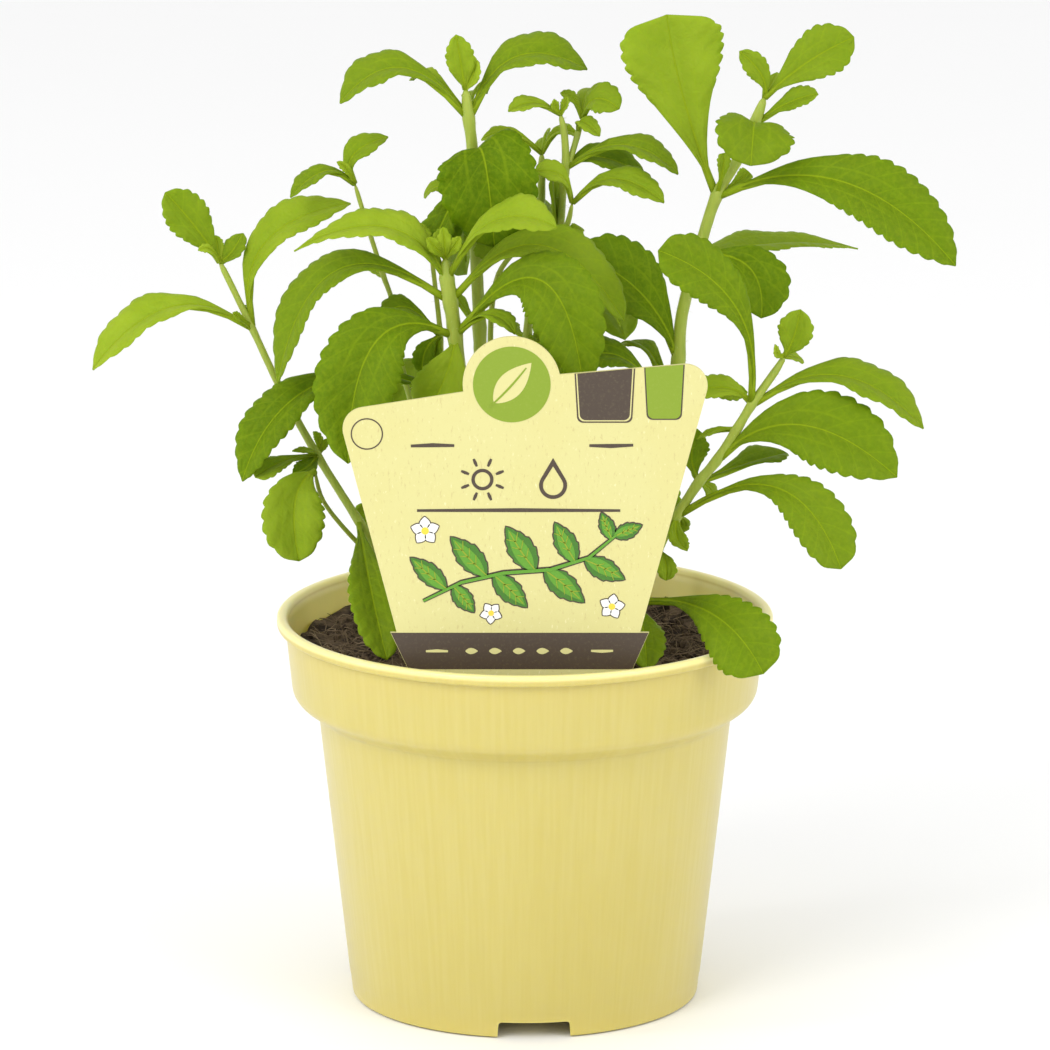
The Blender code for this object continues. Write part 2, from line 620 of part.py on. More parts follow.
def build_pot(parts, helpers, material):
    """The pot: a turned shell with notches in its foot ring and drain holes in its floor."""
    pot = turned("pot", pot_profile(), POT_SIDES, parts, material)
    cutters = []
    for i in range(NOTCH_COUNT):
        azimuth = math.radians(NOTCH_AZIMUTH + i * 360 / NOTCH_COUNT)
        middle = FOOT_RADIUS - FOOT_RING / 2
        place = (middle * math.sin(azimuth), -middle * math.cos(azimuth), 0.0)
        size = (NOTCH_WIDTH, 4 * FOOT_RING, 2 * (FLOOR - 0.1))
        cutters.append(box(f"notch_{i}", size, place, azimuth, helpers))
    for i in range(DRAIN_COUNT):
        azimuth = math.radians((i + 0.5) * 360 / DRAIN_COUNT)
        place = (DRAIN_CIRCLE * math.sin(azimuth), -DRAIN_CIRCLE * math.cos(azimuth))
        cutters.append(cylinder(f"drain_{i}", DRAIN_RADIUS, FLOOR - 2, FLOOR + FLOOR_THICKNESS + 2,
                                place, helpers))
    cut(pot, cutters)
    pot.data.shade_smooth()
    pot.data.set_sharp_from_angle(angle=math.radians(30))
    return pot


def soil_height(r, azimuth, rng):
    """The crumbly top of the soil: a low mound that dips to the wall."""
    mound = 1.6 * math.cos(min(r / 50, 1.0) * math.pi / 2)
    swell = 0.7 * math.sin(3 * azimuth + r / 9)
    return SOIL_TOP + mound + swell + rng.uniform(-1.0, 1.0)


def build_soil(parts, helpers, material):
    """The potting soil: a plug that fills the pot, with a hole for each stem and for the label's stake."""
    rng = random.Random(7)
    floor_top = FLOOR + FLOOR_THICKNESS + SOIL_GAP
    inner = outer_radius(floor_top) - WALL - SOIL_GAP
    neck = WALL_TOP_RADIUS - WALL - SOIL_GAP
    brim = BAND_FOOT_RADIUS - WALL - SOIL_GAP
    sides = [(brim, SOIL_TOP - 2.0), (brim - 0.1, BAND_FOOT + 0.9), (brim - 1.7, BAND_FOOT - 1.4),
             (neck - 0.1, WALL_TOP + 0.6), (inner, floor_top)]
    bm = bmesh.new()
    rings = []
    for k, r in enumerate((9, 18, 27, 36, 44, 51)):
        ring = []
        for i in range(SOIL_SIDES):
            azimuth = 2 * math.pi * (i + 0.5 * (k % 2)) / SOIL_SIDES
            reach = r + rng.uniform(-1.2, 1.2)
            z = soil_height(r, azimuth, rng)
            ring.append(bm.verts.new((reach * math.cos(azimuth) * MM, reach * math.sin(azimuth) * MM,
                                      z * MM)))
        rings.append(ring)
    for r, z in sides:
        azimuths = [2 * math.pi * (i + 0.5) / SOIL_SIDES for i in range(SOIL_SIDES)]
        rings.append([bm.verts.new((r * math.cos(a) * MM, r * math.sin(a) * MM, z * MM)) for a in azimuths])
    for k, (a, b) in enumerate(zip(rings, rings[1:])):
        lean = 1 if k < 5 and k % 2 == 0 else 0
        for i in range(SOIL_SIDES):
            j = (i + 1) % SOIL_SIDES
            if k >= 5 or lean:
                bm.faces.new((a[i], b[i], a[j]))
                bm.faces.new((b[i], b[j], a[j]))
            else:
                bm.faces.new((a[i], b[i], b[j]))
                bm.faces.new((a[i], b[j], a[j]))
    top = bm.verts.new((0, 0, (SOIL_TOP + 1.5) * MM))
    bottom = bm.verts.new((0, 0, floor_top * MM))
    for i in range(SOIL_SIDES):
        j = (i + 1) % SOIL_SIDES
        bm.faces.new((top, rings[0][i], rings[0][j]))
        bm.faces.new((bottom, rings[-1][j], rings[-1][i]))
    soil = mesh_object("soil", bm, parts, material)
    cutters = []
    for name, plan in STEMS.items():
        buried = [seen(p) for p in plan["points"][:3]]
        start = buried[0] + (buried[0] - buried[1]).normalized() * 0.6
        wide = plan["thick"][0] + 0.2
        cutters.append(tube(name + "_hole", [start, *buried], (wide, wide), helpers, HOLE_GAP, 2))
    slot = (2 * (STAKE_HALF + HOLE_GAP), LABEL_THICKNESS + 2 * HOLE_GAP, 40.0)
    cutters.append(box("stake_slot", slot, (0.0, LABEL_BACK, STAKE_FOOT - HOLE_GAP + slot[2] / 2),
                       0.0, helpers))
    cut(soil, cutters)
    return soil


def arc(centre, radius, start, end, count):
    """Points on an arc, angles in degrees anticlockwise from +X."""
    angles = [math.radians(start + (end - start) * i / count) for i in range(count + 1)]
    return [(centre[0] + radius * math.cos(a), centre[1] + radius * math.sin(a)) for a in angles]


def label_outline():
    """The card's outline in its own plane, anticlockwise from the stake's foot, as (x, z) in millimetres."""
    lobe_x, lobe_z, lobe_r = LABEL_LOBE
    right = [(STAKE_HALF, STAKE_FOOT + 5), (STAKE_HALF, 87.4), (24.4, 89.0), (25.4, 92.2), (29.3, 101.3),
             (27.2, 101.3)]
    left = [(-30.3, 101.3), (-31.8, 101.3), (-27.6, 92.2), (-26.6, 89.0), (-STAKE_HALF, 87.4),
            (-STAKE_HALF, STAKE_FOOT + 5)]
    top_right = arc((37.6, 161.0), 5.2, -15, 96, 6)
    top_left = arc((-37.6, 150.6), 5.2, 98, 197, 6)
    lobe = arc((lobe_x, lobe_z), lobe_r, 12, 189, 16)
    return [(0.0, STAKE_FOOT), *right, *top_right, *lobe, *top_left, *left]


def build_label(parts, material):
    """The plant label: a flat card with a round lobe on top and a stake below, one piece."""
    curve = bpy.data.curves.new("plant_label", "CURVE")
    curve.dimensions = "2D"
    curve.fill_mode = "BOTH"
    curve.extrude = LABEL_THICKNESS / 2 * MM
    outline = label_outline()
    spline = curve.splines.new("POLY")
    spline.points.add(len(outline) - 1)
    for point, (x, z) in zip(spline.points, outline):
        point.co = (x * MM, z * MM, 0.0, 1.0)
    spline.use_cyclic_u = True
    curve.materials.append(material)
    label = bpy.data.objects.new("plant_label", curve)
    parts.objects.link(label)
    label.rotation_euler.x = math.pi / 2
    label.location.y = LABEL_BACK * MM
    return label


def main():
    clear_scene()
    parts = new_collection("stevia_plant")
    helpers = new_collection("helpers")
    leaf = new_material("leaf", LEAF_COLOUR, 0.5)
    build_pot(parts, helpers, new_material("pot_plastic", POT_COLOUR, 0.4))
    build_soil(parts, helpers, new_material("soil", SOIL_COLOUR, 0.95))
    build_label(parts, new_material("card", CARD_COLOUR, 0.55))
    for name, plan in STEMS.items():
        build_stem(name, plan, parts, leaf)
    bpy.data.collections.remove(helpers)


main()
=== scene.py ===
"""The looks of a stevia plant in a nursery pot: toothed leaves with veins, hairy stems, crumbly soil,
a printed card label and a moulded yellow pot, each in the place of its solid in the frame.

The frame is in metres, +Z up, with the viewer on the -Y side. Sizes here are in millimetres. A place on
the plant is (right, up, back): where the point is seen, to the right of the pot's axis and above the
table, on the upright plane through the axis, and how far behind that plane it lies.
"""

import math
import random

import bmesh
import bpy
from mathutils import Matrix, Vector, noise


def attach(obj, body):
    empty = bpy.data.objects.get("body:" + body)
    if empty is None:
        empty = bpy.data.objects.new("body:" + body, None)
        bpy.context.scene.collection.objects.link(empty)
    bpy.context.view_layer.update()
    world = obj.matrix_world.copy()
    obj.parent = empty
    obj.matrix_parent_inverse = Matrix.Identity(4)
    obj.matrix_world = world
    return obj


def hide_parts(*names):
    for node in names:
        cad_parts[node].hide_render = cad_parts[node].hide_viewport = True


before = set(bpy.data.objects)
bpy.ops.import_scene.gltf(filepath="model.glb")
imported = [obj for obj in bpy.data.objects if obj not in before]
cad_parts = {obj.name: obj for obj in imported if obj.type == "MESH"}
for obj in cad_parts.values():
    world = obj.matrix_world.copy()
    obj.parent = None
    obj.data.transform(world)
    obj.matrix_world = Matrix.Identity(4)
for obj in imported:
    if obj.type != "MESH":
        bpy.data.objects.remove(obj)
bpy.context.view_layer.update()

MM = 0.001
EYE = Vector((0.0, -1850.0, 573.0))

# Camera
CAMERA_PITCH = 13.87
CAMERA_LENS = 270.86
SENSOR_WIDTH = 36.0
CLIP_END = 20.0

# Pot
POT_HEIGHT = 94.3
LIP_RADIUS = 60.0
BAND_TOP_RADIUS = 57.8
BAND_FOOT_RADIUS = 56.2
BAND_FOOT = 76.2
WALL_TOP = 70.7
WALL_TOP_RADIUS = 50.1
FOOT_RADIUS = 42.1
WALL = 1.0
FLOOR = 4.0
FLOOR_THICKNESS = 1.3
FOOT_RING = 1.8
NOTCH_COUNT = 3
NOTCH_WIDTH = 17.6
NOTCH_AZIMUTH = 3.0
DRAIN_COUNT = 6
DRAIN_RADIUS = 3.5
DRAIN_CIRCLE = 27.0
POT_SIDES = 192

# Soil
SOIL_TOP = 84.6
SOIL_RADIUS = 55.0
CRUMBS = 900
FIBRES = 1500
SOIL_RINGS = 76
SOIL_SIDES = 168
LOOSE_REACH = 53.5
FIBRE_REACH = 51.0
FIBRE_POINTS = 9

# Label
LABEL_BACK = -45.0
LABEL_THICKNESS = 0.7
LABEL_LOBE = (-3.1, 161.3, 11.5)
STAKE_HALF = 4.0
STAKE_FOOT = 56.0
INK = 0.06
FIRST_INK = LABEL_THICKNESS / 2 + INK

# Plant
BLADE = 0.36
PETIOLE_HALF = 0.75
FOLD = math.radians(18)
STEM_SIDES = 12
HAIR_LENGTH = 0.8
HAIR_RADIUS = 0.035
SMALL_LEAF = 7.5
PLAIN_ROW = 3.0
WIDEST_TOOTH_ROW = 3.3
LONGEST_TOOTH = 0.8
TEETH_END = 0.985
RIM_SHARE = 0.35
RIB_SIDES = 8
RIB_END = 0.92
STALK_STEP = 1.6
THICK_STALK = 2.8
SWELLING = 0.18
SWELLING_REACH = 2.2

# Studio, in metres
FLOOR_HALF_SIZE = 4.0
FLOOR_DROP = 0.0003
WORLD_LIGHT = 0.95
KEY_LIGHT = 11.0
STRIP_LIGHT = 1.6
FILL_LIGHT = 7.5

# Colours
LEAF_PLAIN = (0.24, 0.40, 0.02)
LEAF_DEEP = (0.066, 0.130, 0.0)
LEAF_YOUNG = (0.345, 0.450, 0.030)
LEAF_MOTTLE = (0.140, 0.235, 0.002)
LEAF_BLOOM = (0.25, 0.33, 0.01)
LEAF_VEIN = (0.26, 0.36, 0.008)
LEAF_UNDER = (0.26, 0.36, 0.02)
STEM_GREEN = (0.235, 0.325, 0.012)
STEM_PALE = (0.42, 0.49, 0.07)
HAIR_PALE = (0.72, 0.76, 0.50)
POT_YELLOW = (0.575, 0.485, 0.135)
POT_PALE = (0.62, 0.54, 0.20)
POT_DEEP = (0.54, 0.445, 0.10)
# Painted glow: the pale colour given to the collar's inner side and the lip's top, for light through the
# thin plastic.
POT_PAINTED_GLOW = (0.86, 0.79, 0.36)
PEAT_DARK = (0.026, 0.017, 0.011)
PEAT_BROWN = (0.150, 0.105, 0.065)
PEAT_PALE = (0.27, 0.19, 0.12)
FIBRE_TAN = (0.32, 0.24, 0.15)
CARD_CREAM = (0.63, 0.59, 0.25)
CARD_WARM = (0.61, 0.55, 0.20)
CARD_FIBRE = (0.50, 0.41, 0.17)
CARD_LIGHT = (0.80, 0.75, 0.44)
INKS = {
    "brown": (0.060, 0.040, 0.026),
    "green": (0.21, 0.31, 0.012),
    "leaf": (0.045, 0.17, 0.01),
    "sprig": (0.10, 0.30, 0.015),
    "yellow_green": LEAF_BLOOM,
    "white": (0.80, 0.80, 0.76),
    "yellow": (0.90, 0.60, 0.05),
    "cream": CARD_CREAM,
}
FLOOR_WHITE = (0.93, 0.93, 0.93)
FLOOR_GREY = (0.91, 0.91, 0.91)

# A stem is its points from the soil up, its diameter at the foot and at the top, its leaves, and its
# side shoots. A leaf is (the stem point that it grows from, the middle of its midrib, its tip, width,
# turn, outline). The turn is 0 where the blade faces the viewer, 90 where its upper side looks up.
STEMS = {
    "stem_left": {
        "points": [(-18, 62, 2), (-22, 86, 2), (-32, 104, 3), (-40, 117, 4), (-50, 133.5, 5),
                   (-58.5, 149.5, 5), (-65.5, 165, 4), (-73, 181, 4)],
        "thick": (2.6, 1.5),
        "leaves": [
            (3, (-37.5, 101, -20), (-33.5, 82.5, -35), 12, 15, "oval"),
            (4, (-57.5, 132.2, -4), (-65, 128, -10), 6.4, 42, "blunt"),
            (4, (-52, 134.5, 1), (-56, 134.5, -2), 2.4, 60, "bud"),
            (4, (-52.5, 130.5, -2), (-56, 129, -6), 4.5, 20, "bud"),
            (4, (-49.6, 137, 8), (-51, 139.3, 9), 2.2, 20, "bud"),
            (4, (-48.6, 135.5, 7), (-47.8, 137.6, 8), 2.0, 20, "bud"),
            (6, (-85, 169.8, -2), (-103.7, 154.5, -6), 13.5, 57, "lance"),
            (6, (-62.2, 185.4, 6), (-41.6, 195.2, 12), 12.5, 46, "lance"),
            (6, (-68.5, 167.5, 0), (-70, 168.6, -1), 1.6, 20, "bud"),
            (6, (-67.2, 169, 5), (-67.8, 170.6, 6), 1.6, 20, "bud"),
            (7, (-79, 189.8, 3), (-85.9, 198, 2), 10.5, 12, "oval"),
            (7, (-70.6, 182.8, 6), (-67.3, 188, 9), 5.5, 30, "oval"),
            (7, (-75.5, 184, 0), (-78.2, 183.8, -2), 2.2, 40, "bud"),
            (7, (-73.5, 184.5, 7), (-74, 187.5, 9), 3, 10, "bud"),
        ],
        "shoots": [
            {"points": [(-33, 105, 3), (-41.5, 113, -1), (-48.5, 122, -5), (-50.6, 129.5, -7)],
             "thick": (1.3, 1.0),
             "leaves": [(3, (-55.4, 122, -13), (-54.5, 107.2, -15), 15, 5, "round")]},
        ],
    },
    "stem_left_thin": {
        "points": [(-12, 62, 15), (-14, 88, 15), (-20, 117, 14), (-27.5, 147, 13), (-29.3, 154, 13),
                   (-31.5, 170, 13), (-34, 178, 12), (-38, 191, 11), (-40.6, 200, 10)],
        "thick": (1.8, 1.1),
        "leaves": [
            (4, (-54, 148.5, -4), (-68, 127, -10), 13, 38, "lance"),
            (8, (-47.5, 203, 7), (-56, 196.7, 4), 7, 62, "lance"),
            (8, (-41, 206.8, 11), (-32.6, 211.4, 14), 7.5, 40, "lance"),
            (8, (-42.5, 203.5, 8), (-44.9, 205.4, 7), 2, 20, "bud"),
            (6, (-35.6, 178.6, 16), (-36.4, 181, 20), 3, 30, "bud"),
        ],
        "shoots": [],
    },
    "stem_left_inner": {
        "points": [(-12, 62, -5), (-14, 88, -4), (-17, 122, -2), (-19.8, 148, -1), (-20.3, 163, 0),
                   (-21.4, 174, -4), (-22.4, 183, -7)],
        "thick": (2.0, 1.1),
        "leaves": [
            (3, (-27, 151.4, -4), (-34.5, 153, -6), 5, 62, "lance"),
            (4, (-28.5, 169.8, -2), (-33.8, 166.8, -3), 7, 48, "broad"),
            (4, (-23.8, 159.4, -5), (-24.6, 153.8, -6), 5, 10, "oval"),
            (4, (-21.6, 159, -3), (-21.4, 155.4, -4), 3.6, 10, "bud"),
            (6, (-24.4, 186.6, -5), (-25, 190.6, -4), 4.4, 15, "bud"),
            (6, (-20.6, 186, -9), (-18.6, 189.2, -11), 4, 30, "bud"),
        ],
        "shoots": [],
    },
    "stem_front": {
        "points": [(-9, 62, -13), (-11, 86, -13), (-13.5, 122, -13), (-15.4, 150, -13),
                   (-16.8, 163, -13), (-17.9, 171.5, -13), (-18.7, 177, -13), (-19, 182, -13)],
        "thick": (4.2, 3.2),
        "leaves": [
            (4, (-35.6, 161.6, -24), (-42.6, 131.4, -30), 20, 12, "broad"),
            (4, (3.4, 176.6, -24), (14, 150.5, -32), 18, 16, "broad"),
            (4, (-9, 168, -20), (-2.4, 163.3, -25), 6, 70, "lance"),
            (5, (-44.6, 179, -10), (-59.3, 151.2, -12), 15, 54, "lance"),
            (5, (3.4, 185, -14), (23.6, 166.5, -16), 14.5, 45, "broad"),
            (6, (-33.6, 189.4, -16), (-55.2, 183.6, -16), 12.5, 54, "tail"),
            (6, (-7.5, 190.8, -22), (7.6, 189.2, -26), 12.5, 58, "lance"),
            (7, (-19.2, 185.2, -15), (-19.6, 189.6, -15), 3.4, 5, "bud"),
            (7, (-21.4, 184.4, -16), (-23.4, 187, -17), 3.2, 15, "bud"),
            (7, (-17, 184.6, -15), (-15.4, 187.2, -16), 3.2, 15, "bud"),
            (4, (-18.6, 154, -17), (-24.6, 141.6, -17), 13, 22, "broad"),
            (2, (-24, 132, -22), (-28, 112, -30), 13, 30, "broad"),
            (2, (-2, 132, -22), (6, 112, -31), 13, 30, "broad"),
        ],
        "shoots": [],
    },
    "stem_centre": {
        "points": [(-4, 62, 3), (-6, 90, 4), (-9, 125, 4), (-10.6, 152, 4), (-10.9, 165, 4),
                   (-12, 189, 4), (-12.4, 206, 4), (-13.4, 216, 4), (-14.2, 223, 4)],
        "thick": (3.9, 2.6),
        "leaves": [
            (7, (-29.2, 228, 2), (-44, 219.5, 0), 13, 58, "lance"),
            (7, (-2.4, 230.6, 6), (14.8, 227.7, 8), 14.5, 54, "lance"),
            (7, (-12.5, 222, 11), (-9, 222, 20), 7, 70, "lance"),
            (8, (-15.3, 229.5, 2), (-16.4, 236.2, 1), 6.8, 4, "bud"),
            (8, (-13.8, 227.5, 7), (-13, 231.5, 9), 6, 10, "bud"),
            (8, (-12.5, 226, 3), (-11.3, 230, 2), 4, 25, "bud"),
            (6, (-9.7, 206, -5), (-7.3, 184.5, -5), 24, 0, "round"),
            (6, (-19, 192, -1), (-22.6, 184, -4), 9, 30, "broad"),
            (5, (-8.6, 187, 2), (-7, 181, 2), 10, 10, "broad"),
            (5, (-16, 192.5, 3), (-17.6, 185, 1), 6, 15, "broad"),
            (5, (-18.6, 198.6, 6), (-24, 196.6, 8), 5, 45, "blunt"),
            (7, (-21, 225.2, 9), (-26.6, 225.2, 13), 6.4, 50, "blunt"),
            (5, (-14, 190, 24), (-14, 178, 40), 15, 110, "broad"),
            (4, (-15, 170, 10), (-19, 176, 14), 5, 60, "lance"),
            (3, (-22, 155, 22), (-30, 141, 36), 14, 130, "broad"),
            (3, (0, 156, 24), (8, 141, 38), 14, 130, "broad"),
        ],
        "shoots": [],
    },
    "stem_mid": {
        "points": [(1, 62, 13), (0, 90, 14), (-0.5, 130, 15), (0.6, 163, 15), (2.4, 182, 15),
                   (3.8, 196, 15), (4, 207.5, 15)],
        "thick": (2.6, 1.8),
        "leaves": [
            (6, (-3, 212.2, 14), (-10.4, 210.6, 14), 5, 58, "lance"),
            (6, (7.6, 212.6, 15), (12.6, 211.6, 15), 5, 62, "lance"),
            (6, (4.4, 211, 20), (5.4, 211, 26), 5, 70, "bud"),
            (3, (4.6, 162, 9), (6.2, 168.4, 8), 7.5, 5, "round"),
            (3, (-3, 164.5, 20), (-4.5, 166.5, 26), 5, 60, "lance"),
            (4, (8, 178, 34), (12, 168, 47), 15, 125, "broad"),
            (5, (4, 196, 28), (6, 190, 40), 10, 110, "lance"),
        ],
        "shoots": [
            {"points": [(0, 120, 15), (-5, 140, 17), (-8.2, 158, 18), (-7, 176, 18), (-2, 184.5, 18),
                        (0.6, 190, 19)],
             "thick": (1.7, 1.2),
             "leaves": [(5, (-1, 194, 20), (-4, 196, 22), 4, 40, "bud"),
                        (5, (1.6, 193, 22), (2, 196, 25), 4, 40, "bud")]},
        ],
    },
    "stem_mid_right": {
        "points": [(9, 62, 8), (8, 90, 11), (5.6, 130, 18), (6, 168, 20), (8.2, 187, 14), (9, 198, 10),
                   (9.7, 204, 8), (9.4, 212, 8), (8.4, 217, 8)],
        "thick": (3.0, 1.7),
        "leaves": [
            (6, (23.5, 209.4, 6), (36.5, 202.3, 4), 9.5, 58, "lance"),
            (6, (17, 206.6, 11), (28.6, 202, 13), 10, 50, "broad"),
            (8, (2.4, 219.6, 6), (-4, 217.6, 4), 5.2, 52, "lance"),
            (8, (7.2, 218.8, 7), (7, 220.6, 6), 2, 10, "bud"),
            (8, (9.4, 219, 8), (10, 221.4, 8), 2.2, 30, "bud"),
            (4, (11, 188.6, 11), (13.8, 189, 13), 3.6, 45, "lance"),
            (4, (6.8, 199, 12), (7.6, 201.6, 18), 6, 60, "bud"),
            (3, (17, 172, 34), (24, 162, 48), 14, 125, "broad"),
        ],
        "shoots": [
            {"points": [(9.7, 203, 8), (11.4, 208, 9), (12.8, 213, 10), (13.6, 216, 10)],
             "thick": (1.6, 1.3),
             "leaves": [(3, (17, 220.6, 6), (22.5, 218.2, 3), 8, 35, "oval"),
                        (3, (11.6, 220.4, 12), (8.4, 222, 13), 3.4, 40, "lance"),
                        (3, (14.8, 222, 16), (18, 222.6, 22), 7, 60, "lance"),
                        (2, (13.6, 215.2, 7), (17.8, 211.6, 5), 5, 55, "broad")]},
            {"points": [(8.2, 187, 8), (10.2, 190.5, 6), (11.3, 195.5, 5)], "thick": (1.6, 1.3),
             "leaves": [(2, (21, 201.2, 2), (33.2, 195.4, -2), 9, 52, "lance"),
                        (2, (8.6, 202, 3), (2.2, 203, 1), 6, 45, "lance")]},
        ],
    },
    "stem_right_tall": {
        "points": [(14, 62, 7), (19, 86, 7), (28, 116, 5), (34.6, 144, 3), (36.8, 157, 2),
                   (37.6, 168, 2), (41.4, 183, 2), (45.7, 197, 2), (51, 206.4, 1), (54.6, 214.5, 0),
                   (57, 221, 0)],
        "thick": (4.0, 2.4),
        "leaves": [
            (7, (37.8, 220.5, 2), (33.6, 241, -1), 25, 4, "spoon"),
            (7, (75.4, 200.6, -8), (103, 180, -12), 17.5, 24, "lance"),
            (7, (47, 202.5, -2), (47.6, 207.6, -3), 3, 0, "spoon"),
            (7, (50.4, 200.4, 5), (53.4, 203, 7), 3.6, 10, "spoon"),
            (9, (54.4, 213, -9), (53.8, 204.4, -14), 19, -10, "round"),
            (9, (62.4, 219.4, -1), (69.8, 221.8, -3), 7, 48, "lance"),
            (10, (56.2, 226.4, -1), (51, 232.2, -3), 5.6, 15, "broad"),
            (10, (67, 229.4, 3), (78.2, 235.6, 5), 12.5, 12, "broad"),
            (10, (58.6, 224, 4), (60, 227, 8), 4, 40, "bud"),
            (6, (61.4, 185.4, 20), (79.6, 184.2, 32), 12, 68, "tail"),
            (6, (53.6, 179.6, 0), (56.6, 167.2, -4), 14.5, 16, "broad"),
            (4, (27.6, 173.4, -1), (12, 183, -2), 18, 28, "broad"),
            (4, (45, 150.6, 8), (53.5, 149, 10), 6, 40, "lance"),
            (3, (22, 158, -6), (8.6, 153, -9), 10.5, 48, "lance"),
            (3, (30, 158.6, 8), (22.4, 159.6, 13), 8, 60, "lance"),
        ],
        "shoots": [],
    },
    "stem_right_low": {
        "points": [(20, 62, -8), (22.5, 84, -8), (26, 97, -9), (32, 110.5, -10), (36.6, 118.5, -11),
                   (42, 127, -12), (46, 132, -12), (51, 140, -12), (54.5, 146, -12), (60.6, 155, -12),
                   (62.2, 158, -12)],
        "thick": (3.2, 1.9),
        "leaves": [
            (2, (44.6, 94.4, -33), (57.8, 79.0, -47), 17, 10, "blunt"),
            (2, (28.6, 90, -22), (29.4, 80, -35), 9.5, 10, "broad"),
            (3, (33.8, 107, -16), (34, 102.4, -18), 5, 20, "broad"),
            (4, (60.5, 125.4, -22), (76.3, 105.2, -30), 14, 26, "blunt"),
            (4, (37.4, 116.5, -6), (36.6, 113.6, -4), 5, 25, "bud"),
            (4, (36.6, 113, -16), (39.2, 109.8, -20), 5, 30, "bud"),
            (5, (54, 131.6, -5), (63.2, 133.8, 0), 11, 62, "lance"),
            (5, (40, 133, -4), (41.5, 140, -2), 8, 20, "broad"),
            (5, (44.5, 124.8, -8), (44.6, 122.4, -6), 4, 30, "bud"),
            (6, (65.8, 141, -16), (89.6, 128, -20), 19, 14, "lance"),
            (7, (46.5, 139.6, -9), (41.4, 137.4, -7), 3.2, 60, "lance"),
            (8, (50.6, 169.6, -20), (31.8, 183.8, -24), 14, 28, "blunt"),
            (8, (75.4, 153, -12), (95.8, 140, -14), 14, 55, "lance"),
            (8, (48.6, 150, -8), (39, 148.6, -4), 7, 30, "lance"),
            (10, (64.4, 162.4, -13), (66, 169.4, -14), 8.4, 4, "oval"),
            (10, (60.4, 158.6, -15), (60, 160.8, -17), 2.2, 30, "bud"),
            (10, (64.4, 157.6, -9), (66.8, 156.6, -6), 3.6, 55, "bud"),
        ],
        "shoots": [],
    },
    "stem_back_left": {
        "points": [(-15, 62, 26), (-18, 88, 28), (-21, 114, 30), (-22.5, 131, 31), (-23, 142, 31)],
        "thick": (3.0, 2.0),
        "leaves": [
            (2, (-32, 120, 36), (-38, 112, 40), 12, 120, "lance"),
            (2, (-15, 122, 42), (-14, 113, 53), 13, 120, "broad"),
            (3, (-29, 134, 44), (-34, 126, 55), 14, 120, "lance"),
            (3, (-14, 137, 36), (-9, 133, 42), 9, 110, "lance"),
            (4, (-24, 146, 28), (-25, 148.6, 26), 5, 30, "bud"),
            (4, (-21, 145, 35), (-20, 147, 40), 6, 80, "bud"),
        ],
        "shoots": [],
    },
    "stem_back_right": {
        "points": [(11, 62, 25), (15, 88, 28), (18.5, 115, 31), (20.5, 132, 32), (21.4, 142, 32)],
        "thick": (3.0, 2.0),
        "leaves": [
            (2, (28, 123, 40), (35, 116, 48), 13, 120, "lance"),
            (2, (9, 120, 42), (3, 110, 52), 13, 120, "broad"),
            (3, (22, 136, 44), (23, 126, 55), 13, 120, "lance"),
            (3, (32, 140, 34), (38, 136, 36), 9, 80, "lance"),
            (4, (22, 146, 30), (22.6, 148.6, 28), 5, 30, "bud"),
            (4, (21, 145, 36), (20, 146, 41), 6, 80, "bud"),
        ],
        "shoots": [],
    },
}

# An outline is how fast the leaf narrows to the stalk and to the tip, and where its teeth start.
OUTLINES = {
    "lance": (2.00, 0.90, 0.46),
    "broad": (1.70, 0.75, 0.38),
    "blunt": (2.40, 0.55, 0.46),
    "round": (1.20, 0.62, 0.28),
    "oval": (1.45, 0.72, 0.30),
    "spoon": (1.85, 0.36, 0.52),
    "tail": (0.90, 1.25, 0.20),
    "bud": (1.10, 0.80, 0.35),
}


def new_collection(name):
    made = bpy.data.collections.new(name)
    bpy.context.scene.collection.children.link(made)
    return made


PLANT = new_collection("stevia_looks")


def add_object(name, data, material=None):
    obj = bpy.data.objects.new(name, data)
    PLANT.objects.link(obj)
    if material:
        data.materials.clear()
        data.materials.append(material)
    return obj


def built(name, bm, material=None, smooth=True):
    """An object of the mesh that was built in bm, which is freed."""
    mesh = bpy.data.meshes.new(name)
    bm.to_mesh(mesh)
    bm.free()
    if smooth:
        mesh.shade_smooth()
    return add_object(name, mesh, material)


def freeze(obj):
    """Replaces the object's mesh with what its modifiers make of it."""
    graph = bpy.context.evaluated_depsgraph_get()
    mesh = bpy.data.meshes.new_from_object(obj.evaluated_get(graph))
    obj.modifiers.clear()
    obj.data = mesh


def seen(place):
    """A place in space, in millimetres, of a point written as (right, up, back)."""
    right, up, back = place
    on_plane = Vector((right, 0.0, up))
    return EYE + (on_plane - EYE) * (1.0 + back / -EYE.y)


# Materials


def material(name, colour, roughness, **values):
    """A material with a Principled shader and the plain values of its sockets, with its node tree."""
    made = bpy.data.materials.new(name)
    made.use_nodes = True
    made.diffuse_color = (*colour, 1.0)
    shader = made.node_tree.nodes["Principled BSDF"]
    shader.inputs["Base Color"].default_value = (*colour, 1.0)
    shader.inputs["Roughness"].default_value = roughness
    for key, value in values.items():
        shader.inputs[key.replace("_", " ")].default_value = value
    return made, made.node_tree, shader


def node(tree, kind, **values):
    """A node of that kind, with its settings and the plain values of its sockets."""
    made = tree.nodes.new(kind)
    for key, value in values.items():
        if hasattr(made, key):
            setattr(made, key, value)
        else:
            made.inputs[key.replace("_", " ")].default_value = value
    return made


def maths(tree, operation, first, second=None, third=None):
    """The output of a Math node. Its values are sockets or plain numbers."""
    made = tree.nodes.new("ShaderNodeMath")
    made.operation = operation
    for socket, value in zip(made.inputs, (first, second, third)):
        if value is None:
            continue
        if isinstance(value, (int, float)):
            socket.default_value = value
        else:
            tree.links.new(value, socket)
    return made.outputs[0]


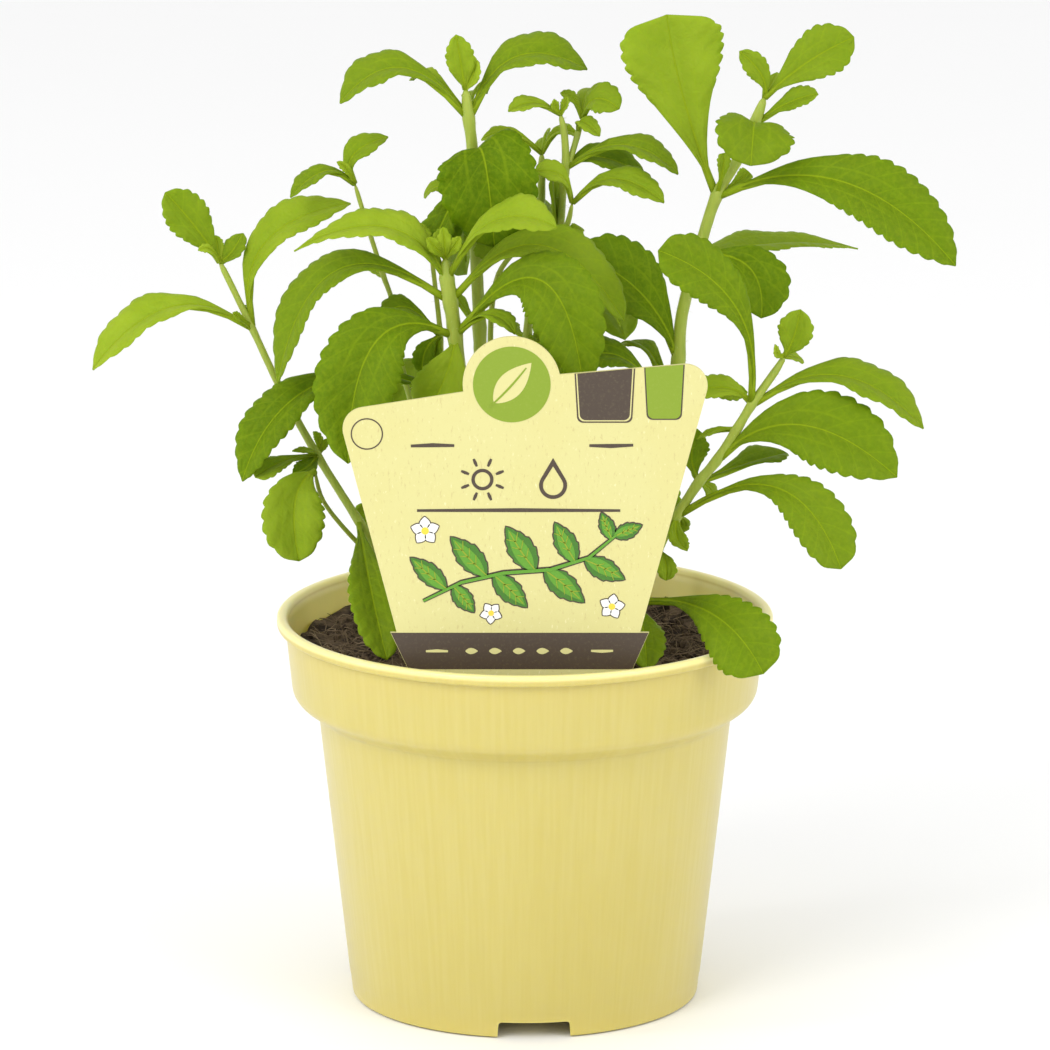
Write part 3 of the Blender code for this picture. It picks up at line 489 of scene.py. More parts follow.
def blend(tree, share, first, second):
    """The output of a colour Mix node. The share is a socket or number, the rest sockets or colours."""
    made = tree.nodes.new("ShaderNodeMix")
    made.data_type = "RGBA"
    for key, value in (("Factor", share), ("A", first), ("B", second)):
        socket = next(s for s in made.inputs if s.name == key and s.enabled)
        if isinstance(value, bpy.types.NodeSocket):
            tree.links.new(value, socket)
        else:
            socket.default_value = value if key == "Factor" else (*value, 1.0)
    return next(s for s in made.outputs if s.enabled)


def tint(tree, skin, mask, share, colour):
    """The skin brought towards a colour by that share of the mask."""
    return blend(tree, maths(tree, "MULTIPLY", mask, share), skin, colour)


def ramp(tree, value, low, high):
    """The value brought smoothly to 0 at low and 1 at high, where high may be below low."""
    made = node(tree, "ShaderNodeMapRange", interpolation_type="SMOOTHSTEP", From_Min=low, From_Max=high)
    tree.links.new(value, made.inputs["Value"])
    return made.outputs["Result"]


def noise_field(tree, coordinates, scale, detail=3.0, roughness=0.55):
    """Noise over the surface. The scale is a socket or a plain number."""
    made = node(tree, "ShaderNodeTexNoise", Detail=detail, Roughness=roughness)
    if isinstance(scale, bpy.types.NodeSocket):
        tree.links.new(scale, made.inputs["Scale"])
    else:
        made.inputs["Scale"].default_value = scale
    tree.links.new(coordinates, made.inputs["Vector"])
    return made.outputs["Fac"]


def bump(tree, shader, height, strength, distance):
    """Feeds a bump of that height map to the shader's normal."""
    made = node(tree, "ShaderNodeBump", Strength=strength, Distance=distance)
    tree.links.new(height, made.inputs["Height"])
    tree.links.new(made.outputs["Normal"], shader.inputs["Normal"])


def object_place(tree):
    return tree.nodes.new("ShaderNodeTexCoord").outputs["Object"]


def effect(name, inputs, outputs):
    """A new node group, with the sockets that it is given and those that it has to fill. Place is a
    vector, the rest are numbers."""
    group = bpy.data.node_groups.new(name, "ShaderNodeTree")
    for way, names in (("INPUT", inputs), ("OUTPUT", outputs)):
        for key in names:
            kind = "NodeSocketVector" if key == "Place" else "NodeSocketFloat"
            group.interface.new_socket(key, in_out=way, socket_type=kind)
    given = group.nodes.new("NodeGroupInput").outputs
    return group, given, group.nodes.new("NodeGroupOutput").inputs


def placed(tree, group, **values):
    """The node of a group in a material. Its values are sockets or plain numbers."""
    part = tree.nodes.new("ShaderNodeGroup")
    part.node_tree = group
    for key, value in values.items():
        if isinstance(value, (int, float)):
            part.inputs[key].default_value = value
        else:
            tree.links.new(value, part.inputs[key])
    return part.outputs


def grain_group():
    """The card's fine grain, which the print on it shows too."""
    group, given, result = effect("card_grain", ("Place",), ("Grain",))
    group.links.new(noise_field(group, given["Place"], 1300.0, 4.0, 0.7), result["Grain"])
    return group


def peat_group():
    """Masks of peat's clumps and of the pale specks in it, and the height of both together."""
    group, given, result = effect("peat_specks", ("Place", "Scale"), ("Clump", "Speck", "Height"))
    clump = noise_field(group, given["Place"], given["Scale"], 6.0, 0.7)
    speck = noise_field(group, given["Place"], maths(group, "MULTIPLY", given["Scale"], 6.0))
    group.links.new(ramp(group, clump, 0.38, 0.68), result["Clump"])
    group.links.new(ramp(group, speck, 0.6, 0.8), result["Speck"])
    group.links.new(maths(group, "ADD", clump, speck), result["Height"])
    return group


def vein_group():
    """Masks of a leaf's veins. Across is -1 to 1 from edge to edge, Along 0 to 1 from stalk to tip, and
    Side and Up are the same in millimetres."""
    group, given, result = effect("leaf_veins", ("Across", "Along", "Side", "Up"),
                                  ("Midrib", "Veins", "Quilt"))
    side = maths(group, "ABSOLUTE", given["Side"])
    across = maths(group, "ABSOLUTE", given["Across"])
    reach = maths(group, "MULTIPLY_ADD", given["Along"], -0.35, 0.55)
    midrib = ramp(group, maths(group, "DIVIDE", side, reach), 1.0, 0.25)
    group.links.new(midrib, result["Midrib"])
    lane = maths(group, "MULTIPLY_ADD", given["Along"], -0.18, 0.52)
    off_lane = maths(group, "ABSOLUTE", maths(group, "SUBTRACT", across, lane))
    before_tip = ramp(group, given["Along"], 0.86, 0.6)
    arch = maths(group, "MULTIPLY", ramp(group, off_lane, 0.055, 0.01), before_tip)
    climb = maths(group, "MULTIPLY", side, 1.05)
    row = maths(group, "DIVIDE", maths(group, "SUBTRACT", given["Up"], climb), 5.2)
    wave = maths(group, "PINGPONG", row, 0.5)
    feather = ramp(group, wave, 0.075, 0.02)
    veins = maths(group, "MAXIMUM", maths(group, "MULTIPLY", feather, 0.75), arch)
    spread = group.nodes.new("ShaderNodeCombineXYZ")
    group.links.new(given["Side"], spread.inputs[0])
    group.links.new(given["Up"], spread.inputs[1])
    cells = node(group, "ShaderNodeTexVoronoi", feature="DISTANCE_TO_EDGE", Scale=0.62)
    group.links.new(spread.outputs[0], cells.inputs["Vector"])
    to_edge = cells.outputs["Distance"]
    net = ramp(group, to_edge, 0.10, 0.0)
    group.links.new(maths(group, "MAXIMUM", veins, maths(group, "MULTIPLY", net, 0.30)), result["Veins"])
    pillow = maths(group, "MULTIPLY", ramp(group, wave, 0.0, 0.5), ramp(group, off_lane, 0.0, 0.22))
    small = ramp(group, to_edge, 0.0, 0.35)
    group.links.new(maths(group, "ADD", pillow, maths(group, "MULTIPLY", small, 0.28)), result["Quilt"])
    return group


def leaf_value(tree, key):
    """What add_vert() noted at each vertex of a leaf under that key."""
    return node(tree, "ShaderNodeAttribute", attribute_name="leaf_" + key).outputs["Fac"]


def leaf_material(veins):
    """Green leaf skin: deep to pale by the leaf's tone, lighter veins, a paler underside."""
    made, tree, shader = material(
        "stevia_leaf", LEAF_PLAIN, 0.46, Specular_IOR_Level=0.05, Subsurface_Weight=0.18,
        Subsurface_Radius=(0.6, 1.0, 0.15), Subsurface_Scale=1.2 * MM)
    masks = placed(tree, veins, **{key: leaf_value(tree, key.lower())
                                   for key in ("Across", "Along", "Side", "Up")})
    tone, under = leaf_value(tree, "tone"), leaf_value(tree, "under")
    place = object_place(tree)
    mottle = noise_field(tree, place, 90.0)
    fleck = noise_field(tree, place, 900.0, 2.0)
    # Deep to bright green by the tone, which for listed leaves in shadow is painted shade.
    skin = blend(tree, tone, LEAF_DEEP, LEAF_YOUNG)
    skin = tint(tree, skin, ramp(tree, mottle, 0.35, 0.75), 0.35, LEAF_MOTTLE)
    skin = tint(tree, skin, ramp(tree, fleck, 0.40, 0.68), 0.20, LEAF_BLOOM)
    skin = tint(tree, skin, masks["Veins"], 0.26, LEAF_VEIN)
    skin = tint(tree, skin, masks["Midrib"], 0.75, LEAF_VEIN)
    skin = tint(tree, skin, under, 0.45, LEAF_UNDER)
    tree.links.new(skin, shader.inputs["Base Color"])
    tree.links.new(maths(tree, "MULTIPLY_ADD", fleck, 0.2, 0.42), shader.inputs["Roughness"])
    quilt = maths(tree, "MULTIPLY", masks["Quilt"], 0.8)
    height = maths(tree, "ADD", quilt, maths(tree, "MULTIPLY", fleck, 0.35))
    height = maths(tree, "SUBTRACT", height, maths(tree, "MULTIPLY", masks["Midrib"], 0.6))
    bump(tree, shader, height, 0.7, 0.28 * MM)
    return made


def stem_material():
    """Pale green stem skin with fine lengthwise streaks."""
    made, tree, shader = material("stevia_stem", STEM_GREEN, 0.5, Subsurface_Weight=0.15,
                                  Subsurface_Scale=1.0 * MM)
    place = object_place(tree)
    stretched = node(tree, "ShaderNodeMapping", Scale=(1.0, 1.0, 0.15))
    tree.links.new(place, stretched.inputs["Vector"])
    streak = noise_field(tree, stretched.outputs["Vector"], 1400.0, 4.0)
    patch = noise_field(tree, place, 60.0)
    skin = tint(tree, STEM_GREEN, streak, 0.9, STEM_PALE)
    skin = tint(tree, skin, ramp(tree, patch, 0.5, 0.8), 0.4, LEAF_DEEP)
    tree.links.new(skin, shader.inputs["Base Color"])
    bump(tree, shader, streak, 0.25, 0.06 * MM)
    return made


def hair_material():
    made, tree, shader = material("stevia_hair", HAIR_PALE, 0.4)
    tone = noise_field(tree, object_place(tree), 300.0)
    tree.links.new(blend(tree, tone, HAIR_PALE, STEM_PALE), shader.inputs["Base Color"])
    return made


def painted_lip_glow(tree, axes):
    """A mask of the collar's inner side and the lip's top, where a painted glow stands in for the light
    that the thin plastic lets through.
    """
    flat = tree.nodes.new("ShaderNodeCombineXYZ")
    tree.links.new(axes.outputs["X"], flat.inputs[0])
    tree.links.new(axes.outputs["Y"], flat.inputs[1])
    size = node(tree, "ShaderNodeVectorMath", operation="LENGTH")
    tree.links.new(flat.outputs[0], size.inputs[0])
    slope = (BAND_TOP_RADIUS - BAND_FOOT_RADIUS) / (POT_HEIGHT - BAND_FOOT)
    height = axes.outputs["Z"]
    outer = maths(tree, "MULTIPLY_ADD", height, slope, (BAND_FOOT_RADIUS - slope * BAND_FOOT) * MM)
    depth = maths(tree, "SUBTRACT", outer, size.outputs["Value"])
    behind_skin = ramp(tree, depth, 0.3 * MM, 0.7 * MM)
    inner = maths(tree, "MULTIPLY", behind_skin, ramp(tree, height, 74 * MM, 78 * MM))
    return maths(tree, "MAXIMUM", inner, ramp(tree, height, 92.6 * MM, 93.6 * MM))


def pot_material():
    """Thin moulded plastic, pale yellow, with faint upright streaks from the mould, and a painted glow
    where light comes through at the collar and lip.
    """
    made, tree, shader = material(
        "pot_yellow", POT_YELLOW, 0.30, Subsurface_Weight=0.5, Subsurface_Radius=(1.0, 0.85, 0.30),
        Subsurface_Scale=3.0 * MM)
    place = object_place(tree)
    axes = tree.nodes.new("ShaderNodeSeparateXYZ")
    tree.links.new(place, axes.inputs[0])
    round_pot = maths(tree, "ARCTAN2", axes.outputs["Y"], axes.outputs["X"])
    wrap = tree.nodes.new("ShaderNodeCombineXYZ")
    tree.links.new(round_pot, wrap.inputs[0])
    tree.links.new(maths(tree, "MULTIPLY", axes.outputs["Z"], 0.9), wrap.inputs[2])
    streak = noise_field(tree, wrap.outputs[0], 38.0, 3.0, 0.6)
    cloud = noise_field(tree, place, 14.0, 4.0)
    skin = tint(tree, POT_YELLOW, ramp(tree, streak, 0.3, 0.72), 0.45, POT_PALE)
    skin = tint(tree, skin, ramp(tree, cloud, 0.4, 0.7), 0.35, POT_DEEP)
    # Painted shade: the lowest 10 mm of the pot are painted darker, for the shade near the floor.
    low = ramp(tree, axes.outputs["Z"], 0.010, 0.0)
    skin = tint(tree, skin, low, 0.25, POT_DEEP)
    # Painted glow: the collar's inner side and the lip's top are painted paler, for light through the
    # thin plastic.
    skin = tint(tree, skin, painted_lip_glow(tree, axes), 0.85, POT_PAINTED_GLOW)
    tree.links.new(skin, shader.inputs["Base Color"])
    bump(tree, shader, streak, 0.14, 0.3 * MM)
    return made


def soil_material(name, peat, dark, light, scale):
    """Peat: dark and pale brown specks, rough and dull."""
    made, tree, shader = material(name, dark, 0.95, Specular_IOR_Level=0.15)
    masks = placed(tree, peat, Place=object_place(tree), Scale=scale)
    skin = tint(tree, blend(tree, masks["Clump"], dark, light), masks["Speck"], 0.5, PEAT_PALE)
    tree.links.new(skin, shader.inputs["Base Color"])
    bump(tree, shader, masks["Height"], 0.8, 0.5 * MM)
    return made


def card_material(grain):
    """Recycled card: cream, with small paler and darker fibres in it."""
    made, tree, shader = material("label_card", CARD_CREAM, 0.55)
    place = object_place(tree)
    cloud = noise_field(tree, place, 55.0, 3.0)
    squash = node(tree, "ShaderNodeMapping", Scale=(1.0, 1.0, 0.35))
    tree.links.new(place, squash.inputs["Vector"])
    fibre = placed(tree, grain, Place=squash.outputs["Vector"])["Grain"]
    skin = tint(tree, CARD_CREAM, ramp(tree, cloud, 0.4, 0.65), 0.30, CARD_WARM)
    skin = tint(tree, skin, ramp(tree, fibre, 0.58, 0.68), 0.6, CARD_FIBRE)
    skin = tint(tree, skin, ramp(tree, fibre, 0.40, 0.30), 0.65, CARD_LIGHT)
    tree.links.new(skin, shader.inputs["Base Color"])
    bump(tree, shader, fibre, 0.12, 0.06 * MM)
    return made


def ink_material(name, grain, colour):
    """Printed ink on card: one colour, a little worn by the card's grain."""
    made, tree, shader = material(name, colour, 0.5)
    worn = placed(tree, grain, Place=object_place(tree))["Grain"]
    thin = tuple(0.95 * c + 0.05 * k for c, k in zip(colour, CARD_CREAM))
    tree.links.new(blend(tree, ramp(tree, worn, 0.5, 0.72), colour, thin), shader.inputs["Base Color"])
    bump(tree, shader, worn, 0.1, 0.05 * MM)
    return made


def floor_material():
    made, tree, shader = material("studio_floor", FLOOR_WHITE, 0.7)
    shade = noise_field(tree, object_place(tree), 3.0)
    tree.links.new(blend(tree, shade, FLOOR_WHITE, FLOOR_GREY), shader.inputs["Base Color"])
    return made


# Leaves and stems


def turns(count):
    """Angles that part a full turn into equal steps."""
    return [2 * math.pi * k / count for k in range(count)]


def spoke(side, other, angle):
    """The direction at that angle from side towards other."""
    return side * math.cos(angle) + other * math.sin(angle)


def midrib(base, middle, tip, share):
    """Point and direction on the leaf's midrib, a curve through its base, middle and tip."""
    pull = middle * 2 - (base + tip) / 2
    point = base * (1 - share) ** 2 + pull * 2 * share * (1 - share) + tip * share ** 2
    heading = (pull - base) * (1 - share) + (tip - pull) * share
    return point, heading.normalized()


def square_to(vector, axis):
    return (vector - axis * vector.dot(axis)).normalized()


def facings(base, middle, tip, shares, turn):
    """Where the upper side looks at each share of the midrib, with no twist from one to the next."""
    centre = min(range(len(shares)), key=lambda i: abs(shares[i] - 0.5))
    headings = [midrib(base, middle, tip, s)[1] for s in shares]
    to_eye = square_to(EYE - middle, headings[centre])
    upward = headings[centre].cross(to_eye)
    if upward.z < 0:
        upward = -upward
    looks = {centre: spoke(to_eye, upward, math.radians(turn))}
    for i in range(centre + 1, len(shares)):
        looks[i] = square_to(looks[i - 1], headings[i])
    for i in range(centre - 1, -1, -1):
        looks[i] = square_to(looks[i + 1], headings[i])
    return [looks[i] for i in range(len(shares))]


def half_width(share, width, outline):
    """Half the blade's width at a share of its length, without teeth."""
    to_stalk, to_tip = OUTLINES[outline][:2]
    widest = to_stalk / (to_stalk + to_tip)
    rise = (share / widest) ** to_stalk
    fall = ((1 - share) / (1 - widest)) ** to_tip
    return max(width / 2 * rise * fall, PETIOLE_HALF * (1 - share))


# Along one tooth, how far each row lies from its start and how far it stands out, both as shares.
TOOTH_RISE = ((0.0, 0.0), (0.28, 0.62), (0.58, 0.98), (0.76, 0.95), (0.90, 0.45))
# Where the blade's columns lie, from its left edge over the midrib to its right edge.
COLUMNS = (-1.0, -0.86, -0.62, -0.36, -0.14, 0.0, 0.14, 0.36, 0.62, 0.86, 1.0)


def stations(outline, length):
    """Shares of the length for the blade's rows, each with how far its tooth stands out there."""
    start = OUTLINES[outline][2]
    spacing = min(WIDEST_TOOTH_ROW, 1.1 + 0.055 * length)
    count = max(4, round(length * (1 - start) / spacing))
    plain = max(4, round(length * start / PLAIN_ROW))
    rows = [(start * i / plain, 0.0) for i in range(plain)]
    step = (TEETH_END - start) / count
    for k in range(count):
        growth = min(1.0, 0.35 + 0.35 * k) * (1.0 if k < count - 1 else 0.7)
        rows += [(start + (k + at) * step, out * growth) for at, out in TOOTH_RISE]
    return rows + [(1.0, 0.0)]


# What is noted at each vertex of a leaf, for its colours and veins.
LEAF_NOTES = ("across", "along", "side", "up", "tone", "under")


class Foliage:
    """Collects the vertices, faces and leaf attributes of one stem's leaves."""

    def __init__(self):
        self.verts, self.faces = [], []
        self.notes = {key: [] for key in LEAF_NOTES}

    def add_vert(self, place, across, along, half, length, tone, under):
        self.verts.append(tuple(place * MM))
        values = (across, along, across * half, along * length, tone, under)
        for key, value in zip(LEAF_NOTES, values):
            self.notes[key].append(value)
        return len(self.verts) - 1

    def to_object(self, name, skin):
        mesh = bpy.data.meshes.new(name)
        mesh.from_pydata(self.verts, [], self.faces)
        for key, values in self.notes.items():
            mesh.attributes.new("leaf_" + key, "FLOAT", "POINT").data.foreach_set("value", values)
        mesh.shade_smooth()
        return add_object(name, mesh, skin)


def cross_section(across, half, share, wave):
    """How far a point of the blade lies out to the side and up from the midrib."""
    near = abs(across)
    fold = math.sin(FOLD) * (math.sqrt(near * near + 0.012) - 0.11)
    dome = 0.10 * math.sin(math.pi * near)
    curl = -0.05 * near ** 4
    ripple = 0.07 * near * near * wave
    return across * half * math.cos(FOLD), (fold + dome + curl + ripple) * half * min(1.0, 3 * share)


def add_leaf(foliage, base, leaf, rng, tone):
    """One leaf: a thin blade, folded along its midrib, with rounded teeth that point to the tip."""
    _, middle, tip, width, turn, outline = leaf
    middle, tip = seen(middle), seen(tip)
    length = (middle - base).length + (tip - middle).length
    rows = stations(outline, length)
    shares = [s for s, _ in rows]
    looks = facings(base, middle, tip, shares, turn)
    tooth = min(0.24 + 0.030 * width, LONGEST_TOOTH)
    phases = (rng.uniform(0, 6.3), rng.uniform(0, 6.3))
    waves = rng.uniform(2.2, 3.4)
    grids = ([], [])
    for (share, out), look in zip(rows, looks):
        point, heading = midrib(base, middle, tip, share)
        side = heading.cross(look)
        half = half_width(share, width, outline) if share < 1.0 else 0.12
        for under, grid in enumerate(grids):
            line = []
            for across in COLUMNS:
                wave = math.sin(2 * math.pi * waves * share + phases[across > 0])
                x, lift = cross_section(across, half, share, wave)
                edge = max(0.0, (abs(across) - 0.8) / 0.2)
                x += math.copysign(out * min(tooth, 0.4 * half) * edge, across)
                rim = RIM_SHARE if abs(across) == 1.0 else 1.0
                place = point + side * x + look * (lift + (0.5 - under) * BLADE * rim)
                line.append(foliage.add_vert(place, across, share, half, length, tone, under))
            grid.append(line)
    upper, lower = grids
    faces = foliage.faces
    last = len(COLUMNS) - 1
    for i in range(len(rows) - 1):
        for j in range(last):
            faces.append((upper[i][j], upper[i][j + 1], upper[i + 1][j + 1], upper[i + 1][j]))
            faces.append((lower[i][j], lower[i + 1][j], lower[i + 1][j + 1], lower[i][j + 1]))
        faces.append((upper[i][0], upper[i + 1][0], lower[i + 1][0], lower[i][0]))
        faces.append((upper[i][last], lower[i][last], lower[i + 1][last], upper[i + 1][last]))
    for j in range(last):
        faces.append((upper[-1][j], upper[-1][j + 1], lower[-1][j + 1], lower[-1][j]))
        faces.append((upper[0][j], lower[0][j], lower[0][j + 1], upper[0][j + 1]))
    add_rib(foliage, base, middle, tip, shares, looks, width, length, tone)


def add_rib(foliage, base, middle, tip, shares, looks, width, length, tone):
    """The leaf's stalk and midrib, round below the blade, which taper towards the tip."""
    rings = []
    thick = min(0.95, 0.35 + 0.035 * width)
    for share, look in zip(shares[::2], looks[::2]):
        if share >= RIB_END:
            continue
        point, heading = midrib(base, middle, tip, share)
        side = heading.cross(look)
        radius = thick * (1 - share) ** 0.8 + 0.08
        centre = point - look * radius * (0.15 + 0.75 * min(1.0, share * 5))
        ring = [centre + spoke(side, look, a) * radius for a in turns(RIB_SIDES)]
        rings.append([foliage.add_vert(p, 0.0, share, 0.0, length, tone, 1.0) for p in ring])
    for a, b in zip(rings, rings[1:]):
        for k in range(RIB_SIDES):
            after = (k + 1) % RIB_SIDES
            foliage.faces.append((a[k], b[k], b[after], a[after]))
    foliage.faces.append(tuple(rings[0]))
    foliage.faces.append(tuple(reversed(rings[-1])))


def smooth_line(points, step):
    """Points about a step apart on a smooth curve through the given ones."""
    line = []
    last = len(points) - 1
    for i in range(last):
        a, b = points[max(i - 1, 0)], points[i]
        c, d = points[i + 1], points[min(i + 2, last)]
        count = max(1, round((c - b).length / step))
        for k in range(count):
            t = k / count
            line.append(0.5 * ((2 * b) + (c - a) * t + (2 * a - 5 * b + 4 * c - d) * t * t
                               + (3 * b - a - 3 * c + d) * t ** 3))
    line.append(points[last])
    return line


# How much of its radius a stalk keeps at its last points, from the very last one back.
STALK_TOP = (0.25, 0.65, 0.90, 1.0)


def add_stalk(bm, hairs, points, thick, joints, rng):
    """A smooth round stalk that swells where leaves grow from it, with short hairs all over."""
    line = smooth_line(points, STALK_STEP)
    last = len(line) - 1
    side = square_to(Vector((1, 0, 0)), (line[1] - line[0]).normalized())
    rings = []
    for i, place in enumerate(line):
        along = (line[min(i + 1, last)] - line[max(i - 1, 0)]).normalized()
        side = square_to(side, along)
        other = along.cross(side)
        radius = (thick[0] + (thick[1] - thick[0]) * i / last) / 2
        swell = sum(math.exp(-((place - points[j]).length / SWELLING_REACH) ** 2) for j in joints)
        radius *= 1.0 + SWELLING * min(1.0, swell)
        radius *= STALK_TOP[min(last - i, 3)]
        ring = []
        for a in turns(STEM_SIDES):
            out = spoke(side, other, a)
            rough = 1.0 + 0.05 * noise.noise(place * 0.5 + out * 3)
            ring.append(bm.verts.new((place + out * radius * rough) * MM))
        rings.append(ring)
        if place.z > SOIL_TOP + 3:
            for _ in range(3 if thick[0] > THICK_STALK else 1):
                a = rng.uniform(0, 2 * math.pi)
                out = spoke(side, other, a)
                heading = (out + along * rng.uniform(-0.3, 0.6)).normalized()
                add_hair(hairs, place + out * radius * 0.9, heading, rng)
    for a, b in zip(rings, rings[1:]):
        for k in range(STEM_SIDES):
            after = (k + 1) % STEM_SIDES
            bm.faces.new((a[k], a[after], b[after], b[k]))
    bm.faces.new(reversed(rings[0]))
    bm.faces.new(rings[-1])


def add_hair(bm, root, heading, rng):
    """A fine three-sided hair."""
    side = heading.orthogonal().normalized()
    other = heading.cross(side)
    length = HAIR_LENGTH * rng.uniform(0.5, 1.3)
    ring = [bm.verts.new((root + spoke(side, other, a) * HAIR_RADIUS) * MM) for a in turns(3)]
    top = bm.verts.new((root + heading * (length + 0.3)) * MM)
    for k in range(3):
        bm.faces.new((ring[k], ring[(k + 1) % 3], top))
    bm.faces.new(reversed(ring))


# How young some leaves look, and how deep the shade on them is painted, by their place in the stem's
# list: 0 is deep green, 1 is bright. Leaves that lie in shadow are listed darker, as painted shade.
LEAF_TONES = {
    "stem_left": {0: 0.30, 1: 0.55, 3: 0.12, 6: 0.75, 7: 0.70, 10: 0.42, 11: 0.35},
    "stem_left_thin": {0: 0.15, 1: 0.30, 2: 0.45},
    "stem_left_inner": {0: 0.12, 1: 0.25, 2: 0.12, 3: 0.30},
    "stem_front": {0: 0.16, 1: 0.20, 3: 0.28, 4: 0.45, 5: 0.72, 6: 0.70, 7: 0.85, 8: 0.8, 9: 0.8,
                   10: 0.60},
    "stem_centre": {0: 0.35, 1: 0.30, 3: 0.65, 6: 0.06, 7: 0.12, 9: 0.15, 10: 0.5, 11: 0.7},
    "stem_mid_right": {0: 0.40, 1: 0.20, 2: 0.70},
    "stem_right_tall": {0: 0.66, 1: 0.20, 4: 0.30, 5: 0.40, 6: 0.5, 7: 0.42, 9: 0.45, 10: 0.14,
                        11: 0.12, 13: 0.12},
    "stem_right_low": {0: 0.22, 3: 0.30, 9: 0.25, 11: 0.22, 12: 0.40, 14: 0.50},
}


def leaf_tone(name, index, leaf, young, rng):
    """How young a leaf looks: as listed, where shaded leaves carry painted shade, and otherwise deep
    green with brighter buds and tops.
    """
    if index in LEAF_TONES.get(name, {}):
        return LEAF_TONES[name][index]
    tone = 0.28 + 0.25 * young ** 3 + rng.uniform(-0.08, 0.08)
    return tone + 0.22 if leaf[3] < SMALL_LEAF else tone


def build_stem(name, plan, skins):
    """One leafy stem: its stalks, its leaves and its hairs."""
    rng = random.Random(name)
    leaf_skin, stem_skin, hair_skin = skins
    foliage = Foliage()
    stalks, hairs = bmesh.new(), bmesh.new()
    for branch in (plan, *plan["shoots"]):
        points = [seen(p) for p in branch["points"]]
        joints = sorted({leaf[0] for leaf in branch["leaves"]})
        add_stalk(stalks, hairs, points, branch["thick"], joints, rng)
        listed = name if branch is plan else ""
        for i, leaf in enumerate(branch["leaves"]):
            tone = leaf_tone(listed, i, leaf, leaf[0] / (len(points) - 1), rng)
            add_leaf(foliage, points[leaf[0]], leaf, rng, tone)
    made = (foliage.to_object(name + "_leaves", leaf_skin),
            built(name + "_stalks", stalks, stem_skin),
            built(name + "_hairs", hairs, hair_skin))
    for obj in made:
        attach(obj, "root")
        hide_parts(name)


# Pot


def outer_radius(z):
    return FOOT_RADIUS + (WALL_TOP_RADIUS - FOOT_RADIUS) * z / WALL_TOP


def bend(corner_before, corner, corner_after, radius, count=5):
    """Points that round off a corner of a section."""
    before = (Vector(corner_before) - Vector(corner)).normalized()
    after = (Vector(corner_after) - Vector(corner)).normalized()
    start, end = Vector(corner) + before * radius, Vector(corner) + after * radius
    shares = [k / count for k in range(count + 1)]
    return [tuple(start * (1 - t) ** 2 + Vector(corner) * 2 * t * (1 - t) + end * t * t)
            for t in shares]


def rounded(profile, radii):
    """The section with each corner rounded by its radius, where it has one."""
    smooth = []
    for i, corner in enumerate(profile):
        radius = radii.get(i, 0.0)
        if radius and 0 < i < len(profile) - 1:
            smooth += bend(profile[i - 1], corner, profile[i + 1], radius)
        else:
            smooth.append(corner)
    return smooth


def pot_profile():
    """The pot's section as (radius, height), from the middle of the floor's underside round the wall
    to the middle of its top. Its corners are rounded by the radii at their places in the list."""
    floor_top = FLOOR + FLOOR_THICKNESS
    profile = [
        (0.0, FLOOR),
        (FOOT_RADIUS - FOOT_RING - 0.4, FLOOR),
        (FOOT_RADIUS - FOOT_RING - 0.2, 0.0),
        (FOOT_RADIUS, 0.0),
        (outer_radius(4.9), 4.9),
        (outer_radius(5.0) + 0.14, 5.1),
        (outer_radius(WALL_TOP), WALL_TOP),
        (BAND_FOOT_RADIUS, BAND_FOOT - 1.6),
        (BAND_TOP_RADIUS, POT_HEIGHT - 4.2),
        (BAND_TOP_RADIUS + 0.1, POT_HEIGHT - 3.0),
        (LIP_RADIUS, POT_HEIGHT - 2.6),
        (LIP_RADIUS, POT_HEIGHT),
        (LIP_RADIUS - 2.2, POT_HEIGHT),
        (BAND_TOP_RADIUS - WALL, POT_HEIGHT - 2.2),
        (BAND_FOOT_RADIUS - WALL, BAND_FOOT - 0.6),
        (WALL_TOP_RADIUS - WALL, WALL_TOP + 0.9),
        (outer_radius(floor_top) - WALL, floor_top),
        (0.0, floor_top),
    ]
    radii = {2: 0.4, 3: 0.5, 6: 1.2, 7: 2.4, 9: 0.3, 10: 0.9, 11: 0.95, 12: 0.8, 13: 0.9, 14: 1.6,
             15: 1.2}
    return rounded(profile, radii)


def turned(name, profile, sides, skin):
    """A solid of revolution about the pot's axis, from a section in millimetres."""
    mesh = bpy.data.meshes.new(name)
    edges = [(i, i + 1) for i in range(len(profile) - 1)]
    mesh.from_pydata([(r * MM, 0.0, z * MM) for r, z in reversed(profile)], edges, [])
    obj = add_object(name, mesh, skin)
    screw = obj.modifiers.new("turn", "SCREW")
    screw.steps = screw.render_steps = sides
    screw.use_merge_vertices = True
    screw.merge_threshold = 1e-6
    return obj


def cutter(name, bm, place, azimuth=0.0):
    obj = built(name, bm, smooth=False)
    obj.location = [p * MM for p in place]
    obj.rotation_euler.z = azimuth
    return obj


def notch_cutter(i):
    """A block with two rounded upper corners, which cuts one notch in the foot ring."""
    azimuth = math.radians(NOTCH_AZIMUTH + i * 360 / NOTCH_COUNT)
    middle = FOOT_RADIUS - FOOT_RING / 2
    bm = bmesh.new()
    bmesh.ops.create_cube(bm, size=1.0)
    for vert in bm.verts:
        x, y, z = vert.co
        slant = 0.97 if z > 0 else 1.03
        vert.co = Vector((x * NOTCH_WIDTH * slant, y * 4 * FOOT_RING, z * 2 * (FLOOR - 0.1))) * MM
    tops = [e for e in bm.edges if all(v.co.z > 0 for v in e.verts)
            and abs(e.verts[0].co.x - e.verts[1].co.x) < 1e-6]
    bmesh.ops.bevel(bm, geom=tops, offset=0.8 * MM, segments=4, affect="EDGES", profile=0.5)
    place = (middle * math.sin(azimuth), -middle * math.cos(azimuth), 0.0)
    return cutter(f"notch_{i}", bm, place, azimuth)


